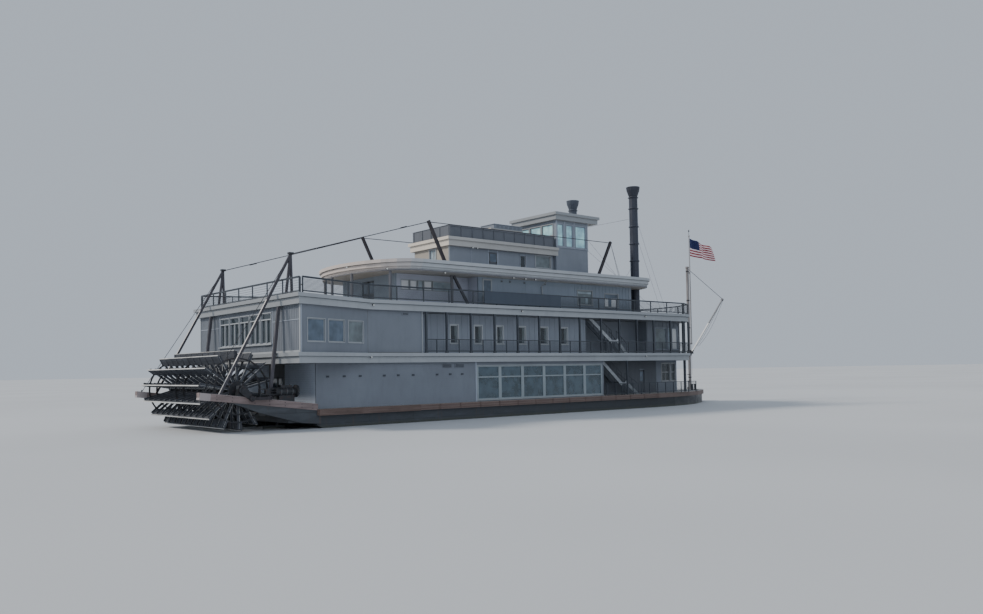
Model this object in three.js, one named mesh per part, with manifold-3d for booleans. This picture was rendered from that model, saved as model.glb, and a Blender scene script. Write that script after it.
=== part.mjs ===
// Sternwheel paddle boat, a 1:2 scale model of a three-deck river boat.
// Every size below is a real metre of the full-size boat. The last group turns
// real metres into model millimetres.
// +X is forward, +Y is port and +Z is up. Real heights are measured from the
// waterline and real lengths from the stern edge of the second deck.

import * as THREE from 'three';
import { mergeVertices } from 'three/addons/utils/BufferGeometryUtils.js';
import Module from 'manifold-3d';

const wasm = await Module();
wasm.setup();

// Scale and datum
const MM_PER_REAL_METRE = 500;
const MIDSHIP_X = 24;
const DRAFT = 1.4;
const GAP = 0.0006;
const SIDES = [['port', 1], ['starboard', -1]];

// Decks, bottom and top of each edge band
const MAIN_DECK = { bottom: 0.89, top: 1.3 };
const SECOND_DECK = { bottom: 4.39, top: 5.09 };
const THIRD_DECK = { bottom: 8.18, top: 8.89 };
const HURRICANE = { bottom: 11.2, top: 12.04 };
const TEXAS_ROOF = { bottom: 13.97, top: 14.7 };
const PILOT_ROOF = { bottom: 17.25, top: 17.93 };
const EDGE_LIP = 0.25;
const EDGE_STEP = 0.14;

// Plan of the hull and its decks
const HULL = { stern: 2.8, half: 5.98, shoulder: 38.5, tip: 52.9, fineness: 1.7 };
const GUARD = { stern: 2.76, half: 6.23, shoulder: 38.5, tip: 53.1, fineness: 1.7 };
const FLARE_END = 6.95;
const DECK = { stern: 0, half: 6.23, sternHalf: 8.87, bowStart: 42.5, bowTip: 46.4 };
const ROOF = { sternMid: 11.3, sternReach: 3.5, half: 6.62, bowStart: 36.6, bowTip: 39.2 };
const ARC_STEPS = 6;
const STERN_STEPS = 6;

// Posts at the bow under the second deck, and columns under the hurricane roof
const BOW_POST = { x: 44.62, y: 4.52, radius: 0.13 };
const COLUMNS = [{ x: 8.25, y: 1.5 }, { x: 9.5, y: 4.9 }, { x: 15.2, y: 4.9 }];

// Walls
const WALL = 0.16;
const WALL_HALF = 5.83;
const GALLERY_HALF = 4.1;

// Paddle wheel, its engines and the timbers that carry them
const WHEEL = { x: -2.5, z: 2.7, radius: 2.6, half: 5.4, floats: 14, frames: 11, phase: 0.57 };
const SHAFT_RADIUS = 0.2;
const HUB_RADIUS = 0.62;
const ARM_HALF = 0.075;
const FLOAT = { depth: 0.62, thick: 0.07 };
const CRANK = { throw: 0.75, inner: 6.21, outer: 6.35, pin: 0.08 };
const PITMAN = { length: 1.2, inner: 6.4, outer: 6.52 };
const TIMBER = { inner: 5.7, outer: 6.15, sternX: -5.3, topAtStern: 2.63, depth: 0.43, slope: 0.121 };

// Bow gear
const KINGPOST = { x: 51.4, radius: 0.16, top: 14.6 };
const BOOM = { x: 51.82, z: 5.3, reach: 6.0, rise: 6.15, radius: 0.09 };

// Colours, roughness and metalness
const FINISH = {
  hull: [0x2a2f37, 0.55, 0.1],
  guard: [0x5d463d, 0.8, 0],
  wall: [0x7f8996, 0.65, 0],
  trim: [0xb9bec4, 0.6, 0],
  dark: [0x34383f, 0.6, 0.1],
  timber: [0x6a544b, 0.85, 0],
  mast: [0x4b4340, 0.8, 0],
  wheel: [0x3a3431, 0.8, 0],
  iron: [0x2c2b2c, 0.5, 0.6],
  chimney: [0x24262a, 0.55, 0.3],
  white: [0xd9dbdb, 0.5, 0],
  flag: [0xa04048, 0.9, 0],
};

// Solids: three.js makes each shape, manifold-3d joins and cuts them
function toSolid(geometry) {
  let g = geometry.index ? geometry.toNonIndexed() : geometry.clone();
  g.deleteAttribute('normal');
  g.deleteAttribute('uv');
  g = mergeVertices(g, 1e-5);
  return new wasm.Manifold(new wasm.Mesh({
    numProp: 3,
    vertProperties: new Float32Array(g.attributes.position.array),
    triVerts: new Uint32Array(g.index.array),
  }));
}

function toGeometry(solid) {
  const mesh = solid.getMesh();
  const g = new THREE.BufferGeometry();
  g.setAttribute('position', new THREE.BufferAttribute(new Float32Array(mesh.vertProperties), 3));
  g.setIndex(new THREE.BufferAttribute(new Uint32Array(mesh.triVerts), 1));
  g.computeVertexNormals();
  return g;
}

function join(geometries) {
  let solid = toSolid(geometries[0]);
  for (const g of geometries.slice(1)) solid = solid.add(toSolid(g));
  return toGeometry(solid);
}

function cut(geometry, cutters) {
  let solid = toSolid(geometry);
  for (const g of cutters) solid = solid.subtract(toSolid(g));
  return toGeometry(solid);
}

function common(a, b) {
  return toGeometry(toSolid(a).intersect(toSolid(b)));
}

// Basic shapes
function box(x0, x1, y0, y1, z0, z1) {
  const g = new THREE.BoxGeometry(x1 - x0, y1 - y0, z1 - z0);
  g.translate((x0 + x1) / 2, (y0 + y1) / 2, (z0 + z1) / 2);
  return g;
}

function prism(outline, z0, z1) {
  const shape = new THREE.Shape(outline.map(([x, y]) => new THREE.Vector2(x, y)));
  const g = new THREE.ExtrudeGeometry(shape, { depth: z1 - z0, bevelEnabled: false });
  g.translate(0, 0, z0);
  return g;
}

// A side view of [x, z] points given the width y0 to y1
function sidePrism(profile, y0, y1) {
  const g = prism(profile, 0, y1 - y0);
  g.rotateX(Math.PI / 2);
  g.translate(0, y1, 0);
  return g;
}

function beam(from, to, width, height) {
  const a = new THREE.Vector3(...from);
  const b = new THREE.Vector3(...to);
  const along = b.clone().sub(a);
  const g = new THREE.BoxGeometry(along.length(), width, height);
  const x = along.clone().normalize();
  const up = Math.abs(x.z) > 0.99 ? new THREE.Vector3(1, 0, 0) : new THREE.Vector3(0, 0, 1);
  const y = up.cross(x).normalize();
  const z = x.clone().cross(y);
  const turn = new THREE.Matrix4().makeBasis(x, y, z).setPosition(a.add(b).multiplyScalar(0.5));
  return g.applyMatrix4(turn);
}

function rod(from, to, radius, sides = 8) {
  const a = new THREE.Vector3(...from);
  const b = new THREE.Vector3(...to);
  const g = new THREE.CylinderGeometry(radius, radius, a.distanceTo(b), sides);
  const turn = new THREE.Quaternion().setFromUnitVectors(
    new THREE.Vector3(0, 1, 0), b.clone().sub(a).normalize());
  g.applyQuaternion(turn);
  g.translate((a.x + b.x) / 2, (a.y + b.y) / 2, (a.z + b.z) / 2);
  return g;
}

// An upright plate from a to b, its outline and holes given as [along, z]
function plate(a, b, outline, holes, thickness) {
  const half = thickness / 2;
  const cutters = holes.map(([u0, u1, z0, z1]) => box(u0, u1, z0, z1, -thickness, thickness));
  const g = cut(prism(outline, -half, half), cutters);
  const along = new THREE.Vector3(b[0] - a[0], b[1] - a[1], 0).normalize();
  const up = new THREE.Vector3(0, 0, 1);
  const turn = new THREE.Matrix4().makeBasis(along, up, along.clone().cross(up));
  return g.applyMatrix4(turn.setPosition(a[0], a[1], 0));
}

// Turns [radius, height] points about the Z axis through x, y
function turned(profile, x, y, segments) {
  const g = new THREE.LatheGeometry(profile.map(([r, h]) => new THREE.Vector2(r, h)), segments);
  g.rotateX(Math.PI / 2);
  g.translate(x, y, 0);
  return g;
}

// Plan outlines, port half mirrored to starboard
function mirrored(portHalf) {
  const starboard = portHalf.filter(([, y]) => y > 1e-9).map(([x, y]) => [x, -y]).reverse();
  return [...portHalf, ...starboard];
}

function bowArc(startX, half, tipX, steps = ARC_STEPS, fineness = 1) {
  const points = [];
  for (let i = 0; i <= steps; i++) {
    const t = (i / steps) * Math.PI / 2;
    const y = half * Math.cos(t) ** fineness;
    points.push([startX + (tipX - startX) * Math.sin(t), i === steps ? 0 : y]);
  }
  return points;
}

function hullPlan(size) {
  return mirrored([
    [size.stern, size.half],
    ...bowArc(size.shoulder, size.half, size.tip, 8, size.fineness),
  ]);
}

function deckPlan(grow) {
  return mirrored([
    [DECK.stern - grow, DECK.sternHalf + grow * 1.2],
    [FLARE_END, DECK.half + grow],
    ...bowArc(DECK.bowStart, DECK.half + grow, DECK.bowTip + grow),
  ]);
}

function roofPlan(grow) {
  const stern = [];
  for (let i = 0; i < STERN_STEPS; i++) {
    const t = (i / STERN_STEPS) * Math.PI / 2;
    stern.push([
      ROOF.sternMid - (ROOF.sternReach + grow) * Math.cos(t),
      (ROOF.half + grow) * Math.sin(t),
    ]);
  }
  return mirrored([
    ...stern,
    [ROOF.sternMid, ROOF.half + grow],
    ...bowArc(ROOF.bowStart, ROOF.half + grow, ROOF.bowTip + grow),
  ]);
}

// A deck edge: a thin lip over a deeper band that is set in
function steppedSlab(plan, level, lips = 1) {
  const parts = [prism(plan(0), level.top - EDGE_LIP, level.top)];
  const drop = (level.top - level.bottom - EDGE_LIP) / lips;
  for (let i = 1; i <= lips; i++) {
    const top = level.top - EDGE_LIP - (i - 1) * drop;
    parts.push(prism(plan(-EDGE_STEP * i), top - drop, top + 0.02));
  }
  return join(parts);
}

// The model
const boat = new THREE.Group();

function piece(name, geometry, finish, parent = boat) {
  const [color, roughness, metalness] = FINISH[finish];
  const material = new THREE.MeshStandardMaterial({ color, roughness, metalness });
  const mesh = new THREE.Mesh(geometry, material);
  mesh.name = name;
  parent.add(mesh);
  return mesh;
}

function timberTop(x) {
  return TIMBER.topAtStern - TIMBER.slope * (x - TIMBER.sternX);
}

// Hull: plan outline cut to the side view, with a raked stern and stem
const SHELF = { aft: 0.75, half: 5.9, bottom: 0.45, top: 0.85 };
function buildHull() {
  const keel = -DRAFT;
  const profile = [
    [HULL.stern, MAIN_DECK.bottom - GAP], [HULL.stern, 0.25], [5.6, keel],
    [45.5, keel], [51.9, -0.1], [HULL.tip + 0.1, MAIN_DECK.bottom - GAP],
  ];
  const shell = common(
    prism(hullPlan(HULL), keel - 1, MAIN_DECK.top),
    sidePrism(profile, -9, 9));
  const parts = [shell];
  for (const [, side] of SIDES) {
    const web = [
      [-3.25, timberTop(-3.25) - TIMBER.depth - GAP * 2],
      [-1.25, 1.2], [1.6, 0.43], [HULL.stern + 0.3, 0.3],
      [HULL.stern + 0.3, MAIN_DECK.bottom - GAP],
      [GUARD.stern - 0.02, MAIN_DECK.bottom - GAP],
      [GUARD.stern - 0.02, timberTop(GUARD.stern) - TIMBER.depth - GAP * 2],
    ];
    const y = side * (TIMBER.inner + TIMBER.outer) / 2;
    parts.push(sidePrism(web, y - 0.17, y + 0.17));
  }
  parts.push(box(SHELF.aft, HULL.stern + 0.2, -SHELF.half, SHELF.half, SHELF.bottom, SHELF.top));
  piece('hull', join(parts), 'hull');
}

function buildDecks() {
  piece('main_deck', prism(hullPlan(GUARD), MAIN_DECK.bottom, MAIN_DECK.top), 'guard');
  const bowPosts = SIDES.map(([, side]) => rod([BOW_POST.x, side * BOW_POST.y, MAIN_DECK.top + GAP],
    [BOW_POST.x, side * BOW_POST.y, SECOND_DECK.bottom + 0.1], BOW_POST.radius, 10));
  piece('second_deck', join([steppedSlab(deckPlan, SECOND_DECK), ...bowPosts]), 'trim');
  const chimneyHoles = [];
  for (const [, side] of SIDES) {
    chimneyHoles.push(rod([CHIMNEY.x, side * CHIMNEY.y, 11], [CHIMNEY.x, side * CHIMNEY.y, 12.5],
      CHIMNEY.radius + 0.01, 24));
  }
  piece('third_deck', steppedSlab(deckPlan, THIRD_DECK), 'trim');
  const columns = [];
  for (const [, side] of SIDES) {
    for (const c of COLUMNS) {
      columns.push(rod([c.x, side * c.y, THIRD_DECK.top + GAP], [c.x, side * c.y, HURRICANE.bottom + 0.1],
        0.11, 10));
    }
  }
  const roof = cut(steppedSlab(roofPlan, HURRICANE, 2), chimneyHoles);
  piece('hurricane_roof', join([roof, ...columns]), 'trim');
}

// Houses: rings of wall with their windows and doors cut through
function ring(outer, inner, z0, z1) {
  return cut(prism(outer, z0, z1), [prism(inner, z0 - 1, z1 + 1)]);
}

function bothSides(x0, x1, z0, z1, yIn, yOut) {
  return SIDES.map(([, side]) => {
    const [a, b] = [side * yIn, side * yOut].sort((p, q) => p - q);
    return box(x0, x1, a, b, z0, z1);
  });
}

// Main deck house
const MAIN_HOUSE = { stern: 2.8, sideEnd: 31.3, bow: 43.8 };
const GLAZED = { start: 16.8, count: 6, pitch: 2.42, mullion: 0.3, sill: 1.43, transom: 3.2, head: 4.1 };
const CABIN_DOOR = { half: 0.9, head: 3.5 };
function mainPlan(t) {
  const h = MAIN_HOUSE;
  return mirrored([
    [h.stern + t, 0], [h.stern + t, WALL_HALF - t], [h.sideEnd - t, WALL_HALF - t],
    [h.sideEnd - t, GALLERY_HALF - t], [h.bow - t, GALLERY_HALF - t], [h.bow - t, 0],
  ]);
}
function buildMainHouse() {
  const z0 = MAIN_DECK.top + GAP;
  const z1 = SECOND_DECK.bottom - GAP;
  const glazedEnd = GLAZED.start + GLAZED.count * GLAZED.pitch - 0.15;
  const cutters = [
    ...bothSides(GLAZED.start, glazedEnd, GLAZED.sill, GLAZED.head, 5, 7),
    ...bothSides(41.5, 42.7, 2.4, 4.1, 3.5, 4.7),
    ...bothSides(42.95, 43.6, 2.4, 4.1, 3.5, 4.7),
    ...bothSides(38.2, 38.9, z0 + 0.05, 3.5, 3.5, 4.7),
    box(43, 44.5, -CABIN_DOOR.half, CABIN_DOOR.half, z0 + 0.05, CABIN_DOOR.head),
    box(43, 44.5, 1.7, 3.3, 2.3, 3.6),
    box(43, 44.5, -3.3, -1.7, 2.3, 3.6),
    box(2, 3.4, -1.0, 1.0, z0 + 0.05, 3.5),
  ];
  piece('main_house', cut(ring(mainPlan(0), mainPlan(WALL), z0, z1), cutters), 'wall');
  for (const [name, side] of SIDES) {
    const y = side * (WALL_HALF - WALL / 2);
    const length = glazedEnd - GLAZED.start - 2 * GAP;
    const lo = GLAZED.sill + GAP;
    const hi = GLAZED.head - GAP;
    const holes = [];
    for (let i = 0; i < GLAZED.count; i++) {
      const u0 = i * GLAZED.pitch + (i === 0 ? 0.2 : GLAZED.mullion / 2);
      const u1 = i === GLAZED.count - 1 ? length - 0.2 : (i + 1) * GLAZED.pitch - GLAZED.mullion / 2;
      holes.push([u0, u1, lo + 0.1, GLAZED.transom - 0.05], [u0, u1, GLAZED.transom + 0.05, hi - 0.1]);
    }
    const frame = plate([GLAZED.start + GAP, y], [glazedEnd, y],
      [[0, lo], [length, lo], [length, hi], [0, hi]], holes, 0.12);
    piece(`window_wall_${name}`, frame, 'white');
  }
}

// Second deck house: the aft saloon, the walls along each gallery and stair bay, and the fore cabin
const SECOND_HOUSE = { stern: 0.4, sternHalf: 8.4, flushEnd: 11.7, recessStart: 30.9, recessEnd: 39.4,
  recessHalf: 2.7, chamfer: 44.3, bow: 45.3, bowHalf: 3.1 };
const STERN_BAND = { from: -4.28, to: 4.47, sill: 5.8, head: 7.84, groups: 5 };
// Windows of the flared wall: distance from the stern corner along the wall
const FLARE_WINDOWS = [
  { from: 0.66, to: 2.36 },
  { from: 2.75, to: 4.4 },
  { from: 4.85, to: 6.5 },
];
const FLARE_SILL = 5.8;
const FLARE_HEAD = 7.3;
// Tall windows on the gallery wall: real x of each side
const GALLERY_WINDOWS = [
  { from: 15.6, to: 16.35 }, { from: 18.05, to: 18.8 }, { from: 20.4, to: 21.05 },
  { from: 22.8, to: 23.55 }, { from: 25.3, to: 26.15 }, { from: 27.7, to: 28.55 },
];
const GALLERY_POSTS = [11.9, 13.8, 16.15, 18.55, 21, 23.4, 25.8, 28.2, 30.9, 33.3, 35.7, 38.1, 40.6, 42.5];

function secondPlan(t) {
  const h = SECOND_HOUSE;
  return mirrored([
    [h.stern + t, h.sternHalf - t * 1.3], [FLARE_END, WALL_HALF - t], [h.flushEnd - t, WALL_HALF - t],
    [h.flushEnd - t, GALLERY_HALF - t], [h.recessStart - t, GALLERY_HALF - t],
    [h.recessStart - t, h.recessHalf - t], [h.recessEnd + t, h.recessHalf - t],
    [h.recessEnd + t, GALLERY_HALF - t], [h.chamfer - t * 0.41, GALLERY_HALF - t],
    [h.bow - t, h.bowHalf - t * 0.41], [h.bow - t, 0],
  ]);
}
function flareCutter(side, from, to, z0, z1) {
  const a = new THREE.Vector2(SECOND_HOUSE.stern, SECOND_HOUSE.sternHalf);
  const b = new THREE.Vector2(FLARE_END, WALL_HALF);
  const along = b.clone().sub(a).normalize();
  const p = a.clone().addScaledVector(along, from);
  const q = a.clone().addScaledVector(along, to);
  const z = (z0 + z1) / 2;
  return beam([p.x, side * p.y, z], [q.x, side * q.y, z], 1.0, z1 - z0);
}
function buildSecondHouse() {
  const z0 = SECOND_DECK.top + GAP;
  const z1 = THIRD_DECK.bottom - GAP;
  const cutters = [];
  const pitch = (STERN_BAND.to - STERN_BAND.from) / STERN_BAND.groups;
  for (let i = 0; i < STERN_BAND.groups; i++) {
    const y = STERN_BAND.from + i * pitch;
    cutters.push(box(-0.5, 1.2, y + 0.12, y + pitch - 0.12, STERN_BAND.sill, STERN_BAND.head));
  }
  for (const [, side] of SIDES) {
    for (const w of FLARE_WINDOWS) cutters.push(flareCutter(side, w.from, w.to, FLARE_SILL, FLARE_HEAD));
  }
  for (const w of GALLERY_WINDOWS) cutters.push(...bothSides(w.from, w.to, 5.9, 7.35, 3.5, 4.8));
  cutters.push(...bothSides(40.7, 42.4, 5.5, 7.6, 3.5, 4.8));
  cutters.push(...bothSides(42.65, 43.05, 5.5, 7.6, 3.5, 4.8));
  cutters.push(...bothSides(43.25, 44.1, 5.5, 7.6, 3.5, 4.8));
  for (const [, side] of SIDES) {
    cutters.push(beam([44.45, side * 3.95, 6.55], [45.15, side * 3.25, 6.55], 0.8, 2.1));
  }
  cutters.push(box(45, 46, -0.8, 0.8, z0 + 0.05, 7.5));
  cutters.push(box(45, 46, 1.2, 2.8, 5.5, 7.6));
  cutters.push(box(45, 46, -2.8, -1.2, 5.5, 7.6));
  const walls = cut(ring(secondPlan(0), secondPlan(WALL), z0, z1), cutters);
  const { flushEnd, recessEnd } = SECOND_HOUSE;
  piece('second_house_aft', common(walls, box(-1, flushEnd, -10, 10, z0, z1)), 'wall');
  for (const [name, side] of SIDES) {
    const [a, b] = [0, side * 10].sort((p, q) => p - q);
    piece(`second_walls_${name}`, common(walls, box(flushEnd + GAP, recessEnd - GAP, a, b, z0, z1)), 'wall');
  }
  piece('second_fore_cabin', common(walls, box(recessEnd, 47, -10, 10, z0, z1)), 'wall');
}

// Third deck house, its aft part narrower under the open canopy
const THIRD_HOUSE = { stern: 10.6, sternHalf: 3.9, step: 17.7, half: 5.1, bow: 35.9 };
function thirdPlan(t) {
  const h = THIRD_HOUSE;
  return mirrored([
    [h.stern + t, 0], [h.stern + t, h.sternHalf - t], [h.step + t, h.sternHalf - t],
    [h.step + t, h.half - t], [h.bow - t, h.half - t], [h.bow - t, 0],
  ]);
}
function buildThirdHouse() {
  const z0 = THIRD_DECK.top + GAP;
  const z1 = HURRICANE.bottom - GAP;
  const cutters = [
    ...bothSides(11.1, 16.1, 10.0, 10.75, 3.2, 4.5),
    ...bothSides(28.95, 30.8, 9.4, 10.65, 4.5, 5.7),
    ...bothSides(32.45, 34.25, 9.3, 10.5, 4.5, 5.7),
    box(35.4, 36.4, -0.9, 0.9, z0 + 0.05, 10.9),
    box(35.4, 36.4, 1.8, 4.2, 9.4, 10.6),
    box(35.4, 36.4, -4.2, -1.8, 9.4, 10.6),
    box(10, 11.2, -0.9, 0.9, z0 + 0.05, 10.9),
  ];
  piece('third_house', cut(ring(thirdPlan(0), thirdPlan(WALL), z0, z1), cutters), 'wall');
}

// Texas cabin on the hurricane roof, with its roof, screen and a plant box
const TEXAS = { aft: 16.8, fore: 28.7, half: 2.4 };
const PILOT = { aft: 28.78, fore: 32.9, half: 2.7 };
const TEXAS_DOOR = { from: 21.1, to: 22.0, bottom: 12.16, top: 13.75, thick: 0.06, play: 0.02 };
function rectangle(x0, x1, half) {
  return [[x0, -half], [x1, -half], [x1, half], [x0, half]];
}
function buildTexas() {
  const z0 = HURRICANE.top + GAP;
  const z1 = TEXAS_ROOF.bottom - GAP;
  const cutters = [
    ...bothSides(TEXAS_DOOR.from, TEXAS_DOOR.to, TEXAS_DOOR.bottom, TEXAS_DOOR.top, 2, 3),
    ...bothSides(24.65, 25.3, 12.65, 13.75, 2, 3),
    ...bothSides(26.5, 28.3, 12.8, 13.85, 2, 3),
    box(16, 17.4, -0.67, 0.2, 13.0, 13.85),
  ];
  const walls = ring(rectangle(TEXAS.aft, TEXAS.fore, TEXAS.half),
    rectangle(TEXAS.aft + WALL, TEXAS.fore - WALL, TEXAS.half - WALL), z0, z1);
  piece('texas_cabin', cut(walls, cutters), 'wall');
  const inner = PILOT.half + GAP;
  const roofPlanAt = (grow) => mirrored([
    [16.44 - grow, 2.9 + grow], [28.97, 2.9 + grow], [28.97, inner], [28.72, inner], [28.72, 0],
  ]);
  const plant = box(22.6, 26.4, -0.9, 1.1, TEXAS_ROOF.top - 0.1, 16.2);
  piece('texas_roof', join([steppedSlab(roofPlanAt, TEXAS_ROOF), plant]), 'trim');
  const screenTop = 15.65;
  piece('roof_screen', ring(rectangle(16.8, 28.6, 2.6), rectangle(16.88, 28.52, 2.52),
    TEXAS_ROOF.top + GAP, screenTop), 'dark');
}

// Pilothouse
const PILOT_SIDE_WINDOWS = [{ from: 28.98, to: 29.7 }, { from: 30.1, to: 30.9 }, { from: 31.3, to: 32.6 }];
function buildPilothouse() {
  const z0 = HURRICANE.top + GAP;
  const z1 = PILOT_ROOF.bottom - GAP;
  const sill = 14.9;
  const head = 16.9;
  const cutters = [];
  for (const w of PILOT_SIDE_WINDOWS) cutters.push(...bothSides(w.from, w.to, sill, head, 2.2, 3.2));
  const pane = (2 * PILOT.half - 0.6) / 3;
  for (let i = 0; i < 3; i++) {
    const y = -PILOT.half + 0.3 + i * pane;
    cutters.push(box(PILOT.fore - 0.5, PILOT.fore + 0.5, y + 0.1, y + pane - 0.1, sill, head));
    cutters.push(box(PILOT.aft - 0.5, PILOT.aft + 0.5, y + 0.1, y + pane - 0.1, 15.9, head));
  }
  cutters.push(box(PILOT.fore - 0.5, PILOT.fore + 0.5, -0.45, 0.45, z0 + 0.12, z0 + 1.9));
  const walls = ring(rectangle(PILOT.aft, PILOT.fore, PILOT.half),
    rectangle(PILOT.aft + WALL, PILOT.fore - WALL, PILOT.half - WALL), z0, z1);
  piece('pilothouse', cut(walls, cutters), 'wall');
  piece('pilot_roof', steppedSlab((grow) => rectangle(28.35 - grow, 34.09 + grow, 3.17 + grow),
    PILOT_ROOF), 'trim');
}

// Chimneys with bands and a flared crown
const CHIMNEY = { x: 37.9, y: 4.07, radius: 0.41, top: 21.1, crown: 0.66 };
const CHIMNEY_BANDS = [20.08, 19.01, 17.26, 15.61, 13.96];
function buildChimneys() {
  for (const [name, side] of SIDES) {
    const r = CHIMNEY.radius;
    const profile = [[0, THIRD_DECK.top + GAP], [r, THIRD_DECK.top + GAP]];
    for (const z of [...CHIMNEY_BANDS].reverse()) {
      profile.push([r, z - 0.1], [r + 0.07, z], [r, z + 0.1]);
    }
    profile.push([CHIMNEY.crown - 0.05, CHIMNEY.top - 0.35], [CHIMNEY.crown, CHIMNEY.top]);
    profile.push([CHIMNEY.crown - 0.12, CHIMNEY.top], [r - 0.08, 20.3], [0, 20.3]);
    piece(`chimney_${name}`, turned(profile, CHIMNEY.x, side * CHIMNEY.y, 16), 'chimney');
  }
}

// Railings: a plate with open bays, its posts down to the deck or up to the ceiling
const RAIL = { half: 6.02, height: 1.05, bar: 0.07, low: 0.1, post: 0.035, thick: 0.07 };
function railPlate(a, b, stations, deckTop, ceiling = 0) {
  const w = ceiling ? 0.07 : RAIL.post;
  const foot = deckTop + GAP;
  const top = deckTop + RAIL.height;
  const below = [];
  const above = [];
  const holes = [];
  stations.forEach((u, i) => {
    const first = i === 0;
    const last = i === stations.length - 1;
    if (!first) below.push([u - w, deckTop + RAIL.low]);
    below.push([u - w, foot], [u + w, foot]);
    if (!last) below.push([u + w, deckTop + RAIL.low]);
    if (ceiling) {
      if (!first) above.push([u - w, top]);
      above.push([u - w, ceiling], [u + w, ceiling]);
      if (!last) above.push([u + w, top]);
    } else if (first || last) {
      above.push([first ? u - w : u + w, top]);
    }
    if (!last) {
      holes.push([u + w, stations[i + 1] - w, deckTop + RAIL.low + RAIL.bar, top - RAIL.bar]);
    }
  });
  return plate(a, b, [...below, ...above.reverse()], holes, ceiling ? 0.14 : RAIL.thick);
}

function evenly(length, pitch) {
  const count = Math.max(1, Math.round(length / pitch));
  return Array.from({ length: count + 1 }, (_, i) => (i * length) / count);
}

function railRun(line, deckTop, pitch, ceiling) {
  const parts = [];
  for (let i = 0; i + 1 < line.length; i++) {
    const [a, b] = [line[i], line[i + 1]];
    parts.push(railPlate(a, b, evenly(Math.hypot(b[0] - a[0], b[1] - a[1]), pitch), deckTop, ceiling));
  }
  return join(parts);
}

// A level strip of the given width along a line of [x, y] points
function strip(line, width, z0, z1) {
  const sideOf = (sign) => line.map(([x, y], i) => {
    const [px, py] = line[Math.max(0, i - 1)];
    const [nx, ny] = line[Math.min(line.length - 1, i + 1)];
    const length = Math.hypot(nx - px, ny - py);
    return [x - (sign * width * (ny - py)) / (2 * length), y + (sign * width * (nx - px)) / (2 * length)];
  });
  return prism([...sideOf(1), ...sideOf(-1).reverse()], z0, z1);
}

function railArc(line, deckTop, post, postTop) {
  const top = deckTop + RAIL.height;
  const parts = [
    strip(line, RAIL.thick, top - RAIL.bar, top),
    strip(line, RAIL.thick, deckTop + RAIL.low, deckTop + RAIL.low + RAIL.bar),
  ];
  const inner = line.slice(1, -1);
  const [first, last] = [line[0], line[line.length - 1]];
  for (const [x, y] of [[first[0] + post, first[1]], ...inner, [last[0] + post, last[1]]]) {
    parts.push(box(x - post, x + post, y - post, y + post, deckTop + GAP, postTop));
  }
  return join(parts);
}

function buildRailings() {
  const bow = bowArc(DECK.bowStart + 0.15, RAIL.half, DECK.bowTip - 0.2, 3);
  const bowLine = [...bow, ...bow.slice(0, -1).reverse().map(([x, y]) => [x, -y])];
  const ceiling = THIRD_DECK.bottom - GAP;
  for (const [name, side] of SIDES) {
    const y = side * RAIL.half;
    const first = GALLERY_POSTS[0];
    const stations = GALLERY_POSTS.map((x) => x - first);
    piece(`gallery_${name}`, railPlate([first, y], [42.5, y], stations, SECOND_DECK.top, ceiling), 'dark');
    const line = [[0.55, side * 8.4], [FLARE_END, y], [42.5, y]];
    piece(`third_rail_${name}`, railRun(line, THIRD_DECK.top, 2.4), 'dark');
  }
  piece('third_rail_stern', railRun([[0.42, -8.2], [0.42, 8.2]], THIRD_DECK.top, 2.4), 'dark');
  const railTop = THIRD_DECK.top + RAIL.height + 0.02;
  piece('third_rail_bow', railArc(bowLine, THIRD_DECK.top, 0.05, railTop), 'dark');
  piece('gallery_bow', railArc(bowLine, SECOND_DECK.top, 0.07, ceiling), 'dark');
}

// Name boards, left bare, on the outside of the third deck rail
const BOARD = { from: 17.5, to: 25.9, bottom: 9.0, top: 9.94 };
function buildBoards() {
  for (const [name, side] of SIDES) {
    const y0 = RAIL.half + RAIL.thick / 2 + GAP;
    const [a, b] = [side * y0, side * (y0 + 0.05)].sort((p, q) => p - q);
    piece(`bare_board_${name}`, box(BOARD.from, BOARD.to, a, b, BOARD.bottom, BOARD.top), 'dark');
  }
}

// Stairs: treads between two stringers, with a landing half way
function stair(x0, z0, x1, z1, yIn, yOut) {
  const parts = [];
  const steps = Math.round((z1 - z0) / 0.24);
  for (const y of [yIn, yOut]) {
    parts.push(beam([x0, y, z0 + 0.12], [x1, y, z1 - 0.12], 0.08, 0.3));
  }
  for (let i = 0; i < steps; i++) {
    const t = (i + 0.5) / steps;
    const x = x0 + (x1 - x0) * t;
    const z = z0 + 0.12 + (z1 - z0 - 0.24) * t;
    parts.push(box(x - 0.14, x + 0.14, Math.min(yIn, yOut), Math.max(yIn, yOut), z - 0.02, z + 0.02));
  }
  return parts;
}
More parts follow.
